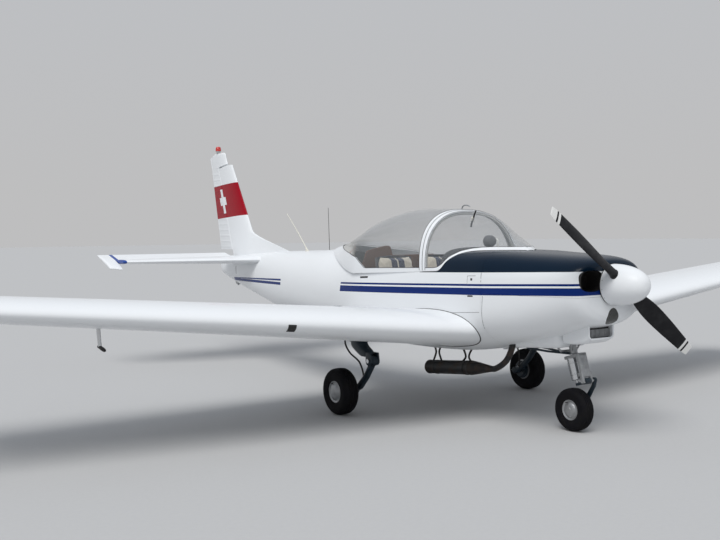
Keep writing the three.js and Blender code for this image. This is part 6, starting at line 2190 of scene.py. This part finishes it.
# Pitot mast and tail tie-down: a bent light-alloy tube under the right wing, and a steel ring plate under
# the tail.
pitot_x = -3400
turns = circle(28)
mast_rows = []
for z, station, along, across in ((1002, 2036, 26, 14), (950, 2032, 25, 14), (880, 2020, 22, 13),
                                  (830, 2006, 20, 13), (806, 1998, 17, 12), (796, 1994, 8, 7)):
    ring = [pitot_x + across * np.sin(turns), station - along * np.cos(turns), np.full(28, float(z))]
    mast_rows.append(np.stack(ring, -1))
mast = solid("mast", mast_rows)
flange = pipe("flange", [(pitot_x, 2034, 1000), (pitot_x, 2034, 988), (pitot_x, 2034, 985)], [32, 30, 20], 28)
fitted(joined("pitot_mast", [mast, flange]), bright_metal, stands_for=("pitot_tube",))
pitot_head = [(pitot_x, 2032, 812), (pitot_x, 2022, 811), (pitot_x, 1930, 798), (pitot_x, 1906, 795),
              (pitot_x, 1894, 793.5), (pitot_x, 1890, 793), (pitot_x, 1900, 794)]
fitted(pipe("pitot_head", pitot_head, [6, 13, 14, 12, 9, 6, 4], 24), duct_black)

# Fuel caps and navigation lights: a flush alloy cap on top of each wing tank, and a moulded lens on each
# wing tip, red on the left wing and green on the right.
light_red = clouded("light_red", (0.55, 0.01, 0.01), 0.12, cloud=(80,),
                    shades=((0.42, 0.006, 0.006), (0.62, 0.02, 0.015)), Coat_Weight=0.5)
light_green = clouded("light_green", (0.01, 0.30, 0.10), 0.12, cloud=(80,),
                      shades=((0.006, 0.22, 0.07), (0.02, 0.36, 0.13)), Coat_Weight=0.5)
for side, name, glass, slot in ((1, "left", light_red, "red_lamp"), (-1, "right", light_green, "lamp_glass")):
    section = wing_section(1450)
    along = 0.30 * section["chord"]
    crown = (wing_camber * 4 * 0.30 * 0.70 + foil_half(0.30, section["thick"])) * section["chord"]
    _, cap_station, cap_z = on_wing(1450, np.array([[along, crown]]))[0]
    cap_profile = [(42, cap_z - 3), (42, cap_z + 1.2), (40, cap_z + 2), (31, cap_z + 2),
                   (30, cap_z + 0.8), (8, cap_z + 0.8), (7, cap_z + 2), (1, cap_z + 2)]
    cap = turned_up("fuel_cap_" + name, cap_profile, (side * 1450, cap_station))
    handle = [(side * 1450 - 22, cap_station, cap_z + 1.5), (side * 1450 + 22, cap_station, cap_z + 1.5)]
    fitted(joined("fuel_cap_" + name, [cap, pipe("handle", handle, 3.4, 12)]), bright_metal)
    edge_points = [on_wing(x, np.array([[5.0, 0.0]]))[0] * [side, 1, 1] for x in np.linspace(4690, 4784, 9)]
    lens_radii = [1, 8, 11.5, 13, 13.4, 13, 11.5, 8, 1]
    fitted(pipe("wing_tip_light_" + name, edge_points, lens_radii, 24), glass)

# Stall warner: a small black plate with a moving tab, let into the leading edge of the right wing.
warner_rows = []
for x in np.linspace(2086, 2150, 6):
    section = wing_section(x)
    u = np.linspace(0, 1, 9) ** 2 * 0.027
    under = mean_line(section, u) - foil_half(u, section["thick"]) * section["chord"]
    warner_rows.append(on_wing(x, np.stack([u * section["chord"] - 1.6, under - 1.2], -1)) * [-1, 1, 1])
warner = walled(grid_piece("stall_warner", warner_rows), 1.2)
tab = pipe("tab", [(-2118, 1512, 912), (-2118, 1496, 908), (-2118, 1486, 905)], [4, 3, 2], 10)
fitted(joined("stall_warner", [warner, tab]), duct_black)
plate_edge = [(6644, 985), (6652, 968), (6676, 946), (6704, 946), (6728, 968), (6736, 985)]
plate_rows = []
for station, z in plate_edge:
    lower = [(20, station, z), (9, station, z - 6), (-9, station, z - 6), (-20, station, z)]
    plate_rows.append([(-20, station, 1000), (20, station, 1000), *lower])
tail_plate = solid("plate", plate_rows)
turns = circle(31)
ring_route = np.stack([np.zeros(31), 6690 + 16 * np.cos(turns), 948 + 16 * np.sin(turns)], -1)
tail_ring = pipe("ring", np.concatenate([ring_route, ring_route[:1]]), 3.5, 12, closed=True)
fitted(joined("tail_ring_plate", [tail_plate, tail_ring]), screw_steel,
       stands_for=("tail_tie_down",))
